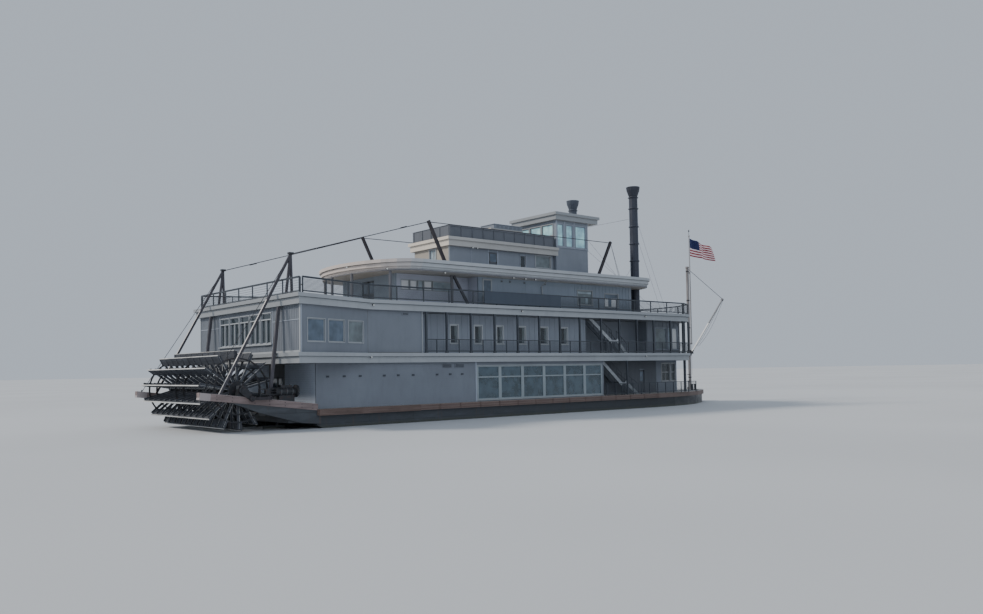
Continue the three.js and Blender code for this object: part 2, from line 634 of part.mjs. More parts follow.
// Stair flights: deck levels, the real x of the head, the landing and the foot, and the real y of each side
const STAIRS = [
  { name: 'main_stair', low: MAIN_DECK.top, high: SECOND_DECK.bottom, head: 31.45, landA: 34.15,
    landB: 34.8, foot: 36.55, landZ: 2.35, inner: 4.45, outer: 5.35 },
  { name: 'second_stair', low: SECOND_DECK.top, high: THIRD_DECK.bottom, head: 31.15, landA: 33.95,
    landB: 34.8, foot: 36.1, landZ: 6.26, inner: 3.5, outer: 4.4 },
];
function buildStairs() {
  for (const [name, side] of SIDES) {
    for (const s of STAIRS) {
      const yIn = side * s.inner;
      const yOut = side * s.outer;
      const [a, b] = [yIn, yOut].sort((p, q) => p - q);
      const raw = join([
        ...stair(s.head, s.high, s.landA + 0.1, s.landZ, yIn, yOut),
        box(s.landA, s.landB, a - 0.04, b + 0.04, s.landZ - 0.06, s.landZ + 0.06),
        ...stair(s.landB - 0.1, s.landZ, s.foot, s.low, yIn, yOut),
        box(s.landA + 0.1, s.landA + 0.24, a, a + 0.14, s.low, s.landZ),
        box(s.landA + 0.1, s.landA + 0.24, b - 0.14, b, s.low, s.landZ),
      ]);
      const room = box(s.head - 1, s.foot + 1, a - 1, b + 1, s.low + GAP, s.high - GAP);
      piece(`${s.name}_${name}`, common(raw, room), 'trim');
    }
  }
}

// Stern timbers, engines and bearings
function buildSternGear() {
  for (const [name, side] of SIDES) {
    const [a, b] = [side * TIMBER.inner, side * TIMBER.outer].sort((p, q) => p - q);
    const fore = MAIN_HOUSE.stern - GAP;
    const timber = sidePrism([
      [TIMBER.sternX, timberTop(TIMBER.sternX) - TIMBER.depth], [TIMBER.sternX, timberTop(TIMBER.sternX)],
      [fore, timberTop(fore)], [fore, MAIN_DECK.top + GAP], [GUARD.stern - 0.02, MAIN_DECK.top + GAP],
      [GUARD.stern - 0.02, timberTop(GUARD.stern) - TIMBER.depth],
    ], a, b);
    piece(`stern_timber_${name}`, timber, 'timber');

    const ex = { aft: -0.27, fore: 1.31, y: 6.02, z: 2.57, r: 0.27, flange: 0.41, seat: 1.1 };
    const y = side * ex.y;
    const seat = sidePrism([
      [0.0, timberTop(0.0) + GAP], [0.0, ex.z - 0.1], [ex.seat, ex.z - 0.1],
      [ex.seat, timberTop(ex.seat) + GAP],
    ], a + 0.04, b - 0.04);
    const guideEnd = -1.35;
    const engine = join([
      rod([ex.aft, y, ex.z], [ex.fore, y, ex.z], ex.r, 14),
      rod([ex.fore - 0.14, y, ex.z], [ex.fore, y, ex.z], ex.flange, 14),
      rod([ex.aft, y, ex.z], [ex.aft + 0.12, y, ex.z], ex.r + 0.03, 14),
      seat,
      rod([guideEnd + 0.5, y, ex.z], [ex.aft + 0.1, y, ex.z], 0.06, 10),
      box(guideEnd, ex.aft + 0.1, y - 0.1, y + 0.1, ex.z - 0.22, ex.z - 0.13),
      box(guideEnd, ex.aft + 0.1, y - 0.1, y + 0.1, ex.z + 0.13, ex.z + 0.22),
      box(guideEnd + 0.4, guideEnd + 0.75, y - 0.1, y + 0.1, ex.z - 0.2, ex.z + 0.2),
      box(guideEnd, guideEnd + 0.1, y - 0.1, y + 0.1, timberTop(guideEnd) + 2 * GAP, ex.z + 0.22),
    ]);
    piece(`engine_${name}`, engine, 'iron');

    const by = side * (TIMBER.inner + TIMBER.outer) / 2;
    const block = sidePrism([
      [WHEEL.x - 0.35, timberTop(WHEEL.x - 0.35) + GAP], [WHEEL.x - 0.3, WHEEL.z + 0.05],
      [WHEEL.x - 0.18, WHEEL.z + 0.32], [WHEEL.x + 0.18, WHEEL.z + 0.32],
      [WHEEL.x + 0.3, WHEEL.z + 0.05], [WHEEL.x + 0.35, timberTop(WHEEL.x + 0.35) + GAP],
    ], by - 0.175, by + 0.175);
    const bore = rod([WHEEL.x, by - 1, WHEEL.z], [WHEEL.x, by + 1, WHEEL.z], 0.2016, 32);
    piece(`bearing_${name}`, cut(block, [bore]), 'iron');
  }
}

// Paddle wheel, turning on the Y axis through its own group
function buildWheel() {
  const wheel = new THREE.Group();
  wheel.position.set(WHEEL.x, 0, WHEEL.z);
  boat.add(wheel);
  const parts = [rod([0, -CRANK.inner - 0.05, 0], [0, CRANK.inner + 0.05, 0], SHAFT_RADIUS, 24)];
  const turn = (2 * Math.PI) / WHEEL.floats;
  const star = [];
  for (let i = 0; i < WHEEL.floats; i++) {
    const a = (i + WHEEL.phase) * turn;
    const c = Math.cos(a);
    const s = Math.sin(a);
    const tip = WHEEL.radius - 0.12;
    star.push([HUB_RADIUS * Math.cos(a - turn / 2), HUB_RADIUS * Math.sin(a - turn / 2)]);
    star.push([c * tip + s * ARM_HALF, s * tip - c * ARM_HALF]);
    star.push([c * tip - s * ARM_HALF, s * tip + c * ARM_HALF]);
  }
  for (let k = 0; k < WHEEL.frames; k++) {
    const y = -WHEEL.half + 0.12 + k * (2 * WHEEL.half - 0.24) / (WHEEL.frames - 1);
    parts.push(sidePrism(star, y - 0.06, y + 0.06));
  }
  for (let i = 0; i < WHEEL.floats; i++) {
    const board = box(WHEEL.radius - FLOAT.depth, WHEEL.radius, -WHEEL.half, WHEEL.half,
      0.02, 0.02 + FLOAT.thick);
    board.rotateY(-(i + WHEEL.phase) * turn);
    parts.push(board);
  }
  const cranks = { port: Math.PI * 0.25, starboard: -Math.PI * 0.25 };
  for (const [name, side] of SIDES) {
    const pinX = CRANK.throw * Math.cos(cranks[name]);
    const pinZ = CRANK.throw * Math.sin(cranks[name]);
    const [a, b] = [side * CRANK.inner, side * CRANK.outer].sort((p, q) => p - q);
    const arm = box(-0.26, CRANK.throw + 0.18, a, b, -0.16, 0.16);
    arm.rotateY(-cranks[name]);
    parts.push(arm);
    parts.push(rod([pinX, side * (CRANK.outer - 0.02), pinZ], [pinX, side * (PITMAN.outer + 0.03), pinZ],
      CRANK.pin, 16));
    buildPitman(name, side, pinX, pinZ, wheel);
  }
  piece('paddle_wheel', join(parts), 'wheel', wheel);
}

// The rod from crank to engine, level, its forward eye free of the guides
function buildPitman(name, side, pinX, pinZ, wheel) {
  const group = new THREE.Group();
  group.position.set(pinX, 0, pinZ);
  wheel.add(group);
  const a = side * PITMAN.inner;
  const b = side * PITMAN.outer;
  const y0 = Math.min(a, b);
  const y1 = Math.max(a, b);
  const body = join([
    rod([0, y0, 0], [0, y1, 0], 0.17, 12),
    box(0.1, PITMAN.length - 0.08, y0 + 0.02, y1 - 0.02, -0.09, 0.09),
    rod([PITMAN.length, y0, 0], [PITMAN.length, y1, 0], 0.13, 12),
  ]);
  const holes = [
    rod([0, y0 - 1, 0], [0, y1 + 1, 0], 0.0814, 24),
    rod([PITMAN.length, y0 - 1, 0], [PITMAN.length, y1 + 1, 0], 0.06, 10),
  ];
  piece(`pitman_${name}`, cut(body, holes), 'timber', group);
}

// Rudders under the stern shelf
const RUDDERS = [{ name: 'port', y: 3.2 }, { name: 'middle', y: 0 }, { name: 'starboard', y: -3.2 }];
const RUDDER = { x: 1.25, fore: 0.6, aft: 1.05, top: 0.2, bottom: -1.2 };
function buildRudders() {
  for (const r of RUDDERS) {
    const group = new THREE.Group();
    group.position.set(RUDDER.x, r.y, 0);
    boat.add(group);
    const blade = join([
      box(-RUDDER.aft, RUDDER.fore, -0.05, 0.05, RUDDER.bottom, RUDDER.top),
      rod([0, 0, RUDDER.bottom + 0.1], [0, 0, SHELF.bottom - GAP], 0.1, 16),
    ]);
    piece(`rudder_${r.name}`, blade, 'hull', group);
  }
}

// Hog masts at the stern, their lower legs, and the chain posts amidships
const MAST = { y: 5.66, top: [1.1, 11.72], foot: 1.19, inner: 0.7, strut: [-3.89, 2.45], strutY: 5.84,
  legY: 5.74 };
const MID_POST = { top: [13.06, 15.3], foot: 14.7 };
const FORE_POST = { top: [33.7, 15.37], foot: 31.9 };
const POST_Y = 4.84;
function buildHogFrames() {
  for (const [name, side] of SIDES) {
    const y = side * MAST.y;
    const strutY = side * MAST.strutY;
    const legY = side * MAST.legY;
    const deck = THIRD_DECK.top;
    const legs = join([
      beam([MAST.top[0], y, MAST.top[1]], [MAST.foot, y, deck - 0.3], 0.14, 0.15),
      beam([MAST.top[0], y, MAST.top[1]], [MAST.inner, y, deck - 0.3], 0.14, 0.15),
      beam([MAST.top[0] + 0.05, y, MAST.top[1] + 0.09],
        [MAST.strut[0] - 0.2, strutY, MAST.strut[1] - 0.36], 0.14, 0.16),
    ]);
    const below = sidePrism([[-6, 0], [3, 0], [3, deck + GAP], [0.2, deck + GAP], [-0.9, 6],
      [-2.0, timberTop(-2.0) + GAP], [-6, timberTop(-6) + GAP]], y - 1, y + 1);
    piece(`hog_mast_${name}`, cut(legs, [below]), 'mast');

    const legTop = [0.2, THIRD_DECK.bottom + 0.1];
    const leg = beam([legTop[0], legY, legTop[1]], [-0.5, legY, 2.0], 0.18, 0.2);
    const room = sidePrism([[-2, timberTop(-2) + GAP], [2, timberTop(2) + GAP],
      [2, THIRD_DECK.bottom - GAP], [-2, THIRD_DECK.bottom - GAP]], y - 1, y + 1);
    piece(`hog_leg_${name}`, common(leg, room), 'mast');

    const py = side * POST_Y;
    const roof = HURRICANE.top;
    const chain = 0.03;
    const posts = join([
      beam([MID_POST.top[0], py, MID_POST.top[1]], [MID_POST.foot + 0.1, py, roof - 0.2], 0.2, 0.22),
      beam([FORE_POST.top[0], py, FORE_POST.top[1]], [FORE_POST.foot - 0.1, py, roof - 0.2], 0.2, 0.22),
      rod([MAST.top[0], y, MAST.top[1]], [MID_POST.top[0], py, MID_POST.top[1] - 0.1], chain, 6),
      rod([MID_POST.top[0], py, MID_POST.top[1] - 0.1], [FORE_POST.top[0], py, FORE_POST.top[1] - 0.1],
        chain, 6),
    ]);
    const masthead = box(0, 1.3, y - 0.5, y + 0.5, 11, 12.5);
    const roofCut = box(10, 36, py - 1, py + 1, roof - 1, roof + GAP);
    piece(`hog_posts_${name}`, cut(posts, [masthead, roofCut]), 'mast');
  }
}

// Bow gear: kingpost, flagpole, flag and the landing boom
const FLAG = { z0: 15.8, z1: 17.8, length: 3.4, thick: 0.05 };
function buildBowGear() {
  const k = KINGPOST;
  const foot = MAIN_DECK.top + GAP;
  const collar = BOOM.z - 0.25;
  piece('kingpost', join([
    rod([k.x, 0, foot], [k.x, 0, k.top], k.radius, 16),
    rod([k.x, 0, foot], [k.x, 0, foot + 0.25], 0.34, 16),
    rod([k.x, 0, collar - 0.1], [k.x, 0, collar], 0.27, 16),
    box(k.x, k.x + 0.5, -0.08, 0.08, 6.2, 6.35),
    box(k.x, k.x + 0.45 - 0.076, -0.08, 0.08, 14.0, 14.15),
    rod([k.x, 0, k.top - 0.05], [k.x, 0, k.top + 0.12], 0.2, 16),
  ]), 'timber');
  const fx = k.x + 0.45;
  const poleFoot = 6.35 + GAP;
  const pole = [[0, poleFoot], [0.075, poleFoot], [0.075, 14.19], [0.075, 14.36], [0.05, 17.9], [0.05, 18.0],
    [0.1, 18.1], [0.1, 18.2], [0, 18.28]];
  piece('flagpole', turned(pole, fx, 0, 14), 'white');
  const halfThick = FLAG.thick / 2;
  const flag = box(0.0, FLAG.length, -halfThick, halfThick, FLAG.z0, FLAG.z1);
  const flagMesh = piece('flag', flag, 'flag');
  flagMesh.position.set(fx + 0.0693, 0, 0);
  flagMesh.rotation.z = -0.35;
}

function buildBoom() {
  const k = KINGPOST;
  const swivel = new THREE.Group();
  swivel.position.set(k.x, 0, BOOM.z);
  boat.add(swivel);
  const arm = BOOM.x - k.x;
  const bodyOut = join([
    rod([0, 0, -0.25 + GAP], [0, 0, 0.25], 0.26, 24),
    box(0, arm + 0.1, -0.16, 0.16, -0.14, 0.14),
  ]);
  const bore = rod([0, 0, -1], [0, 0, 1], (k.radius + GAP) / Math.cos(Math.PI / 24), 24);
  const eye = 0.055;
  const slotCut = box(arm - 0.14, arm + 0.5, -eye - GAP, eye + GAP, -1, 1);
  piece('boom_swivel', cut(bodyOut, [bore, slotCut]), 'iron', swivel);
  const boom = new THREE.Group();
  boom.position.set(arm, 0, 0);
  swivel.add(boom);
  const length = Math.hypot(BOOM.reach, BOOM.rise);
  const spar = join([
    rod([0, -eye, 0], [0, eye, 0], 0.1, 16),
    box(0, 0.5, -eye, eye, -0.08, 0.08),
    rod([0.35, 0, 0], [length, 0, 0], BOOM.radius, 12),
    rod([length - 0.25, 0, 0], [length - 0.1, 0, 0], BOOM.radius + 0.05, 12),
  ]);
  spar.rotateY(-Math.atan2(BOOM.rise, BOOM.reach));
  piece('boom', spar, 'white', boom);
}

// Texas side doors, each hinged at its fore jamb in the wall's outer face
function buildDoors() {
  const door = TEXAS_DOOR;
  for (const [name, side] of SIDES) {
    const hinge = new THREE.Group();
    hinge.position.set(door.to - GAP, side * TEXAS.half, 0);
    boat.add(hinge);
    const [a, b] = [0, -side * door.thick].sort((p, q) => p - q);
    const leaf = box(door.from - door.to + door.play, 0, a, b, door.bottom + door.play, door.top - door.play);
    piece(`texas_door_${name}`, leaf, 'dark', hinge);
  }
}

// Bitts on the foredeck
function buildForedeck() {
  for (const [name, side] of SIDES) {
    const bx = 47.6;
    const by = side * 3.3;
    piece(`bitts_${name}`, join([
      box(bx - 0.5, bx + 0.5, by - 0.2, by + 0.2, MAIN_DECK.top + GAP, MAIN_DECK.top + 0.08),
      rod([bx - 0.28, by, MAIN_DECK.top + 0.05], [bx - 0.28, by, MAIN_DECK.top + 0.6], 0.12, 12),
      rod([bx + 0.28, by, MAIN_DECK.top + 0.05], [bx + 0.28, by, MAIN_DECK.top + 0.6], 0.12, 12),
    ]), 'iron');
  }
}

buildHull();
buildDecks();
buildMainHouse();
buildSecondHouse();
buildThirdHouse();
buildTexas();
buildPilothouse();
buildChimneys();
buildRailings();
buildBoards();
buildStairs();
buildSternGear();
buildWheel();
buildRudders();
buildHogFrames();
buildBowGear();
buildBoom();
buildDoors();
buildForedeck();

// Real metres to model millimetres, with the origin under the keel amidships
boat.scale.setScalar(MM_PER_REAL_METRE);
boat.position.set(-MIDSHIP_X * MM_PER_REAL_METRE, 0, DRAFT * MM_PER_REAL_METRE);
const group = new THREE.Group();
group.add(boat);

export default group;
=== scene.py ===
"""Looks of a sternwheel river boat, a 1:2 scale model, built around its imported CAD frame.

Lengths are real metres of the full-size boat, measured forward from the stern edge of the
second deck and up from the waterline, and TO_MODEL halves them. Only the materials work in
the model's own metres.
"""

import math
from fnmatch import fnmatch
import bmesh  # noqa: E402
import bpy  # noqa: E402
from bpy.props import FloatProperty, FloatVectorProperty, IntProperty, PointerProperty  # noqa: E402
from mathutils import Matrix, Vector  # noqa: E402


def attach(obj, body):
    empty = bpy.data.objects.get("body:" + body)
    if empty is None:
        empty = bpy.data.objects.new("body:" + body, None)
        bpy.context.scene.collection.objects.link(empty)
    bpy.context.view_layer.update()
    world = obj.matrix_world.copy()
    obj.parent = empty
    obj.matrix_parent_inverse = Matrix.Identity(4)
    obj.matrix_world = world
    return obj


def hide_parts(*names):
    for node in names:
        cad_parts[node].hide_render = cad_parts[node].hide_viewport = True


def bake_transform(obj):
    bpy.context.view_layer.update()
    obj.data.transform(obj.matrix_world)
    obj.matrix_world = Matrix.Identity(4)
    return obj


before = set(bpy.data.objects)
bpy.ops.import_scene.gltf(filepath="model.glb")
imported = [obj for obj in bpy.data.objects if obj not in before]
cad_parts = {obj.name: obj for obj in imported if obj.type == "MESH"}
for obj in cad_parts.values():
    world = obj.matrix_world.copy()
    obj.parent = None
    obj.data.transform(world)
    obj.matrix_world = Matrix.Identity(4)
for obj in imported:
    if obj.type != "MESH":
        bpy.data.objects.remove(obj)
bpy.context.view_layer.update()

bl_info = {
    "name": "Sternwheel river boat",
    "version": (1, 0, 0),
    "blender": (4, 5, 0),
    "location": "View3D > Sidebar > River boat",
    "description": "Builds the visible pieces and finishes of a half-size sternwheel river boat",
    "category": "Add Mesh",
}

MODEL_SCALE = 0.5
MIDSHIP_X = 24.0
DRAFT = 1.4
TO_MODEL = Matrix.Scale(MODEL_SCALE, 4) @ Matrix.Translation((-MIDSHIP_X, 0, DRAFT))
PORT, STARBOARD = 1, -1
SIDES = (PORT, STARBOARD)
SIDE_NAMES = {PORT: "port", STARBOARD: "starboard"}
UP = (0, 0, 1)

# Top and bottom of each deck's edge band
MAIN_TOP = 1.3
SECOND_BOTTOM, SECOND_TOP = 4.39, 5.09
THIRD_BOTTOM, THIRD_TOP = 8.18, 8.89
HURRICANE_BOTTOM, HURRICANE_TOP = 11.2, 12.04
TEXAS_ROOF_BOTTOM, TEXAS_ROOF_TOP = 13.97, 14.7
PILOT_ROOF_BOTTOM, PILOT_ROOF_TOP = 17.25, 17.93

# Plans: half widths, and where the walls begin and end
WALL_HALF = 5.83
GALLERY_HALF = 4.1
LOBBY_HALF = 2.7
THIRD_AFT_HALF, THIRD_HALF = 3.9, 5.1
RAIL_HALF = 6.02
DECK_HALF = 6.23
GUARD_HALF = 6.2
RAIL_HEIGHT = 1.05
FLARE_END = 6.95
MAIN_STERN, MAIN_BOW = 2.8, 43.8
SECOND_STERN, SECOND_BOW = (0.4, 8.4), 45.3
GALLERY_ENDS = (11.8, 30.9)
FORE_CABIN_ENDS = (39.4, 44.25)
THIRD_STERN, THIRD_STEP, THIRD_BOW = 10.6, 17.6, 35.9
TEXAS = (16.8, 28.7, 2.4)
PILOT = (28.78, 32.9, 2.7)

# Openings as [from, to, sill, head], along X on the side walls
GLAZED = (16.8, 31.17, 1.43, 4.1)
MAIN_FORE = [(38.2, 38.9, 1.35, 3.5), (41.5, 42.7, 2.4, 4.1), (42.95, 43.6, 2.4, 4.1)]
FLARE_WINDOWS = [(a, b, 5.8, 7.3) for a, b in ((0.66, 2.36), (2.75, 4.4), (4.85, 6.5))]
STERN_BAND, STERN_GROUPS = (-4.28, 4.47, 5.8, 7.84), 5
GALLERY_WINDOWS = [(a, b, 5.9, 7.35) for a, b in (
    (15.6, 16.35), (18.05, 18.8), (20.4, 21.05), (22.8, 23.55), (25.3, 26.15), (27.7, 28.55))]
FORE_WINDOWS = [(a, b, 5.5, 7.6) for a, b in ((40.7, 42.4), (42.65, 43.05), (43.25, 44.1))]
THIRD_AFT = (11.1, 16.1, 10.0, 10.75)
THIRD_FORE = [(28.95, 30.8, 9.4, 10.65), (32.45, 34.25, 9.3, 10.5)]
TEXAS_WINDOWS = [(24.65, 25.3, 12.65, 13.75), (26.5, 28.3, 12.8, 13.85)]
TEXAS_DOOR = (21.1, 22.0, 12.16, 13.75)
PILOT_HEAD = 16.9
PILOT_WINDOWS = [(a, b, 14.9, PILOT_HEAD) for a, b in ((28.98, 29.7), (30.1, 30.9), (31.3, 32.6))]


def model_point(x, y, z):
    return TO_MODEL @ Vector((x, y, z))


def model_height(z):
    return (z + DRAFT) * MODEL_SCALE


# Mesh tools. Each adds closed shapes to a bmesh in real metres.


def paint_faces(verts, index):
    for face in {f for v in verts for f in v.link_faces}:
        face.material_index = index


def add_box(bm, x0, x1, y0, y1, z0, z1, index=0, place=None):
    size = Matrix.Diagonal((abs(x1 - x0), abs(y1 - y0), abs(z1 - z0), 1))
    matrix = Matrix.Translation(((x0 + x1) / 2, (y0 + y1) / 2, (z0 + z1) / 2)) @ size
    if place is not None:
        matrix = place @ matrix
    made = bmesh.ops.create_cube(bm, size=1, matrix=matrix)["verts"]
    paint_faces(made, index)
    return made


def add_stick(bm, x, y, half, z0, z1, index=0):
    """A square upright stick about [x, y]."""
    add_box(bm, x - half, x + half, y - half, y + half, z0, z1, index)


def along(a, b):
    """A frame at a with X towards b and Z as near up as it can be."""
    a, b = Vector(a), Vector(b)
    x = (b - a).normalized()
    up = Vector((1, 0, 0)) if abs(x.z) > 0.99 else Vector(UP)
    y = up.cross(x).normalized()
    z = x.cross(y)
    return Matrix(((x.x, y.x, z.x, a.x), (x.y, y.y, z.y, a.y), (x.z, y.z, z.z, a.z), (0, 0, 0, 1)))


def add_beam(bm, a, b, width, height, index=0):
    length = (Vector(b) - Vector(a)).length
    return add_box(bm, 0, length, -width / 2, width / 2, -height / 2, height / 2, index, along(a, b))


def add_rod(bm, a, b, radius, sides=8, index=0):
    length = (Vector(b) - Vector(a)).length
    turn = along(a, b) @ Matrix.Rotation(math.pi / 2, 4, "Y") @ Matrix.Translation((0, 0, length / 2))
    made = bmesh.ops.create_cone(
        bm, cap_ends=True, segments=sides, radius1=radius, radius2=radius, depth=length, matrix=turn)["verts"]
    paint_faces(made, index)


def add_turned(bm, profile, centre, axis=UP, sides=24, index=0):
    """Spins [radius, height] points round an axis through centre."""
    axis = Vector(axis).normalized()
    side = axis.orthogonal().normalized()
    centre = Vector(centre)
    verts = [bm.verts.new(centre + side * max(r, 1e-5) + axis * h) for r, h in profile]
    edges = [bm.edges.new(pair) for pair in zip(verts, verts[1:])]
    bmesh.ops.spin(
        bm, geom=verts + edges, cent=centre, axis=axis, angle=2 * math.pi, steps=sides,
        use_merge=True, use_normal_flip=False)
    grown, edge = set(verts), list(verts)
    while edge:
        v = edge.pop()
        for other in [e.other_vert(v) for e in v.link_edges]:
            if other not in grown:
                grown.add(other)
                edge.append(other)
    bmesh.ops.remove_doubles(bm, verts=list(grown), dist=1e-4)
    paint_faces([v for v in grown if v.is_valid], index)


def add_ring(bm, r0, r1, low, high, centre, axis=UP, sides=24, index=0):
    """A flat band from r0 to r1, between two heights along its axis."""
    add_turned(bm, [(r0, low), (r1, low), (r1, high), (r0, high), (r0, low)], centre, axis, sides, index)


def add_prism(bm, outline, z0, z1, index, place):
    """An outline of [x, y] points drawn up from z0 to z1."""
    verts = [bm.verts.new((x, y, z0)) for x, y in outline]
    grown = bmesh.ops.extrude_face_region(bm, geom=[bm.faces.new(verts)])["geom"]
    top = [g for g in grown if isinstance(g, bmesh.types.BMVert)]
    bmesh.ops.translate(bm, verts=top, vec=(0, 0, z1 - z0))
    bmesh.ops.transform(bm, matrix=place, verts=verts + top)
    paint_faces(verts + top, index)


def add_wire(bm, a, b, radius, sag=0.0, steps=1, sides=6, index=0):
    """A rope or chain from a to b, hanging by sag at its middle."""
    a, b = Vector(a), Vector(b)
    last = a
    for i in range(1, steps + 1):
        t = i / steps
        point = a.lerp(b, t) - Vector((0, 0, 4 * sag * t * (1 - t)))
        add_rod(bm, last, point, radius, sides, index)
        last = point


# Frames on the walls: X along the wall, Y outwards, Z up


def side_wall(half, side):
    return Matrix(((1, 0, 0, 0), (0, side, 0, side * half), (0, 0, 1, 0), (0, 0, 0, 1)))


def end_wall(x, out):
    """A wall that looks forward, out 1, or astern, out -1."""
    return Matrix(((0, out, 0, x), (1, 0, 0, 0), (0, 0, 1, 0), (0, 0, 0, 1)))


def flare_wall(side, gap=0.0):
    """The slanting wall of the second deck, from its stern corner to the flare's end."""
    (x, half), end = SECOND_STERN, WALL_HALF
    a = Vector((x, side * (half + gap), 0))
    x_axis = (Vector((FLARE_END, side * (end + gap), 0)) - a).normalized()
    out = side * Vector((-x_axis.y, x_axis.x, 0))
    return Matrix(((x_axis.x, out.x, 0, a.x), (x_axis.y, out.y, 0, a.y), (0, 0, 1, 0), (0, 0, 0, 1)))


def free_spans(start, end, holes):
    """What is left of start to end once the holes are taken out."""
    spans, at = [], start
    for h0, h1 in sorted(holes):
        if h1 <= at or h0 >= end:
            continue
        if h0 > at:
            spans.append((at, h0))
        at = max(at, h1)
    if at < end:
        spans.append((at, end))
    return [s for s in spans if s[1] - s[0] > 0.03]


def make_object(bm, name, finishes, recalc=True):
    """Turns a bmesh into an object of the model's size, with finishes named in order."""
    if recalc:
        bmesh.ops.recalc_face_normals(bm, faces=bm.faces)
    bmesh.ops.transform(bm, matrix=TO_MODEL, verts=bm.verts)
    mesh = bpy.data.meshes.new(name)
    bm.to_mesh(mesh)
    bm.free()
    for key in finishes.split():
        mesh.materials.append(FINISHES[key])
    piece = bpy.data.objects.new(name, mesh)
    bpy.context.scene.collection.objects.link(piece)
    return piece


def make_piece(bm, name, finishes, body="root", replaces=None, bevel=0.0, smooth=False, recalc=True):
    """Makes a finished piece that rides on a body."""
    piece = make_object(bm, name, finishes, recalc)
    if smooth:
        piece.data.shade_smooth()
        piece.data.set_sharp_from_angle(angle=math.radians(35))
    if bevel:
        edge = piece.modifiers.new("Eased edges", "BEVEL")
        edge.width = bevel * MODEL_SCALE
        edge.segments = 2
        edge.limit_method = "ANGLE"
        edge.angle_limit = math.radians(40)
        edge.harden_normals = False
    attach(piece, body)
    if replaces:
        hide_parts(replaces)
    return piece


# Materials, all on Object coordinates, so their lengths are the model's metres

FINISHES = {}


def shade(colour, *factors):
    """A colour made lighter or darker, by one factor or by one for each channel."""
    if len(factors) == 1:
        factors *= 3
    return tuple(min(1.0, c * f) for c, f in zip(colour, factors))


class Finish:
    """One procedural material and the nodes it is put together from."""

    def __init__(self, name, roughness=0.6, metallic=0.0, specular=0.5):
        self.material = bpy.data.materials.new(name)
        self.material.use_nodes = True
        self.tree = self.material.node_tree
        self.shader = self.tree.nodes["Principled BSDF"]
        for key, value in (("Roughness", roughness), ("Metallic", metallic),
                           ("Specular IOR Level", specular)):
            self.shader.inputs[key].default_value = value
        self.coords = self.add("ShaderNodeTexCoord").outputs["Object"]

    def add(self, kind, **settings):
        node = self.tree.nodes.new(kind)
        for key, value in settings.items():
            setattr(node, key, value)
        return node

    def put(self, value, socket):
        """Joins an output to a socket, or sets the socket to a number or colour."""
        if isinstance(value, (int, float)):
            socket.default_value = value
        elif isinstance(value, tuple):
            socket.default_value = (*value, 1)
        else:
            self.tree.links.new(value, socket)

    def split(self, vector, letter):
        node = self.add("ShaderNodeSeparateXYZ")
        self.put(vector, node.inputs[0])
        return node.outputs[letter]

    def axis(self, letter):
        return self.split(self.coords, letter)

    def facing(self, letter):
        return self.split(self.add("ShaderNodeNewGeometry").outputs["Normal"], letter)

    def noise(self, scale, detail=4.0, stretch=(1, 1, 1), roughness=0.55):
        mapping = self.add("ShaderNodeMapping")
        mapping.inputs["Scale"].default_value = stretch
        self.put(self.coords, mapping.inputs["Vector"])
        node = self.add("ShaderNodeTexNoise")
        for key, value in (("Scale", scale), ("Detail", detail), ("Roughness", roughness),
                           ("Vector", mapping.outputs["Vector"])):
            self.put(value, node.inputs[key])
        return node.outputs["Fac"]

    def between(self, value, low, high, to_low=0.0, to_high=1.0):
        node = self.add("ShaderNodeMapRange")
        for key, number in (("Value", value), ("From Min", low), ("From Max", high), ("To Min", to_low),
                            ("To Max", to_high)):
            self.put(number, node.inputs[key])
        return node.outputs["Result"]

    def mix(self, factor, a, b):
        node = self.add("ShaderNodeMix", data_type="RGBA")
        for socket, value in ((0, factor), (6, a), (7, b)):
            self.put(value, node.inputs[socket])
        return node.outputs[2]

    def math(self, operation, a, b=0.0):
        node = self.add("ShaderNodeMath", operation=operation)
        self.put(a, node.inputs[0])
        self.put(b, node.inputs[1])
        return node.outputs[0]

    def drift(self, mask, colour, dark, light, low=0.35):
        """A colour that drifts from a darker to a lighter tone with the mask."""
        return self.mix(self.between(mask, low, 1 - low), shade(colour, dark), shade(colour, light))

    def over(self, base, mask, low, high, amount, colour):
        """Lays a colour over the base, by at most amount, where the mask rises from low to high."""
        return self.mix(self.math("MULTIPLY", self.between(mask, low, high), amount), base, colour)

    def seams(self, axis, pitch, width):
        """1 in thin lines across an axis, one every pitch."""
        turned = self.math("ADD", self.math("DIVIDE", self.axis(axis), pitch), 1000.0)
        return self.math("LESS_THAN", self.math("FRACT", turned), width / pitch)

    def fade(self, value, deep, amount=0.4):
        """Painted shade: darkens a paint little by little from the stern to the bow."""
        return self.mix(self.between(self.axis("X"), -8.0, 8.0, 0.0, amount), value, deep)

    def colour(self, value):
        self.put(value, self.shader.inputs["Base Color"])

    def bump(self, height, strength, distance):
        node = self.add("ShaderNodeBump")
        for key, value in (("Strength", strength), ("Distance", distance), ("Height", height)):
            self.put(value, node.inputs[key])
        self.put(node.outputs["Normal"], self.shader.inputs["Normal"])

    def done(self, colour, wear, low, high, height, strength, distance):
        """Joins colour, roughness from low to high with the wear, and bump to the shader."""
        self.colour(colour)
        self.put(self.between(wear, 0.3, 0.7, low, high), self.shader.inputs["Roughness"])
        self.bump(height, strength, distance)
        return self.material


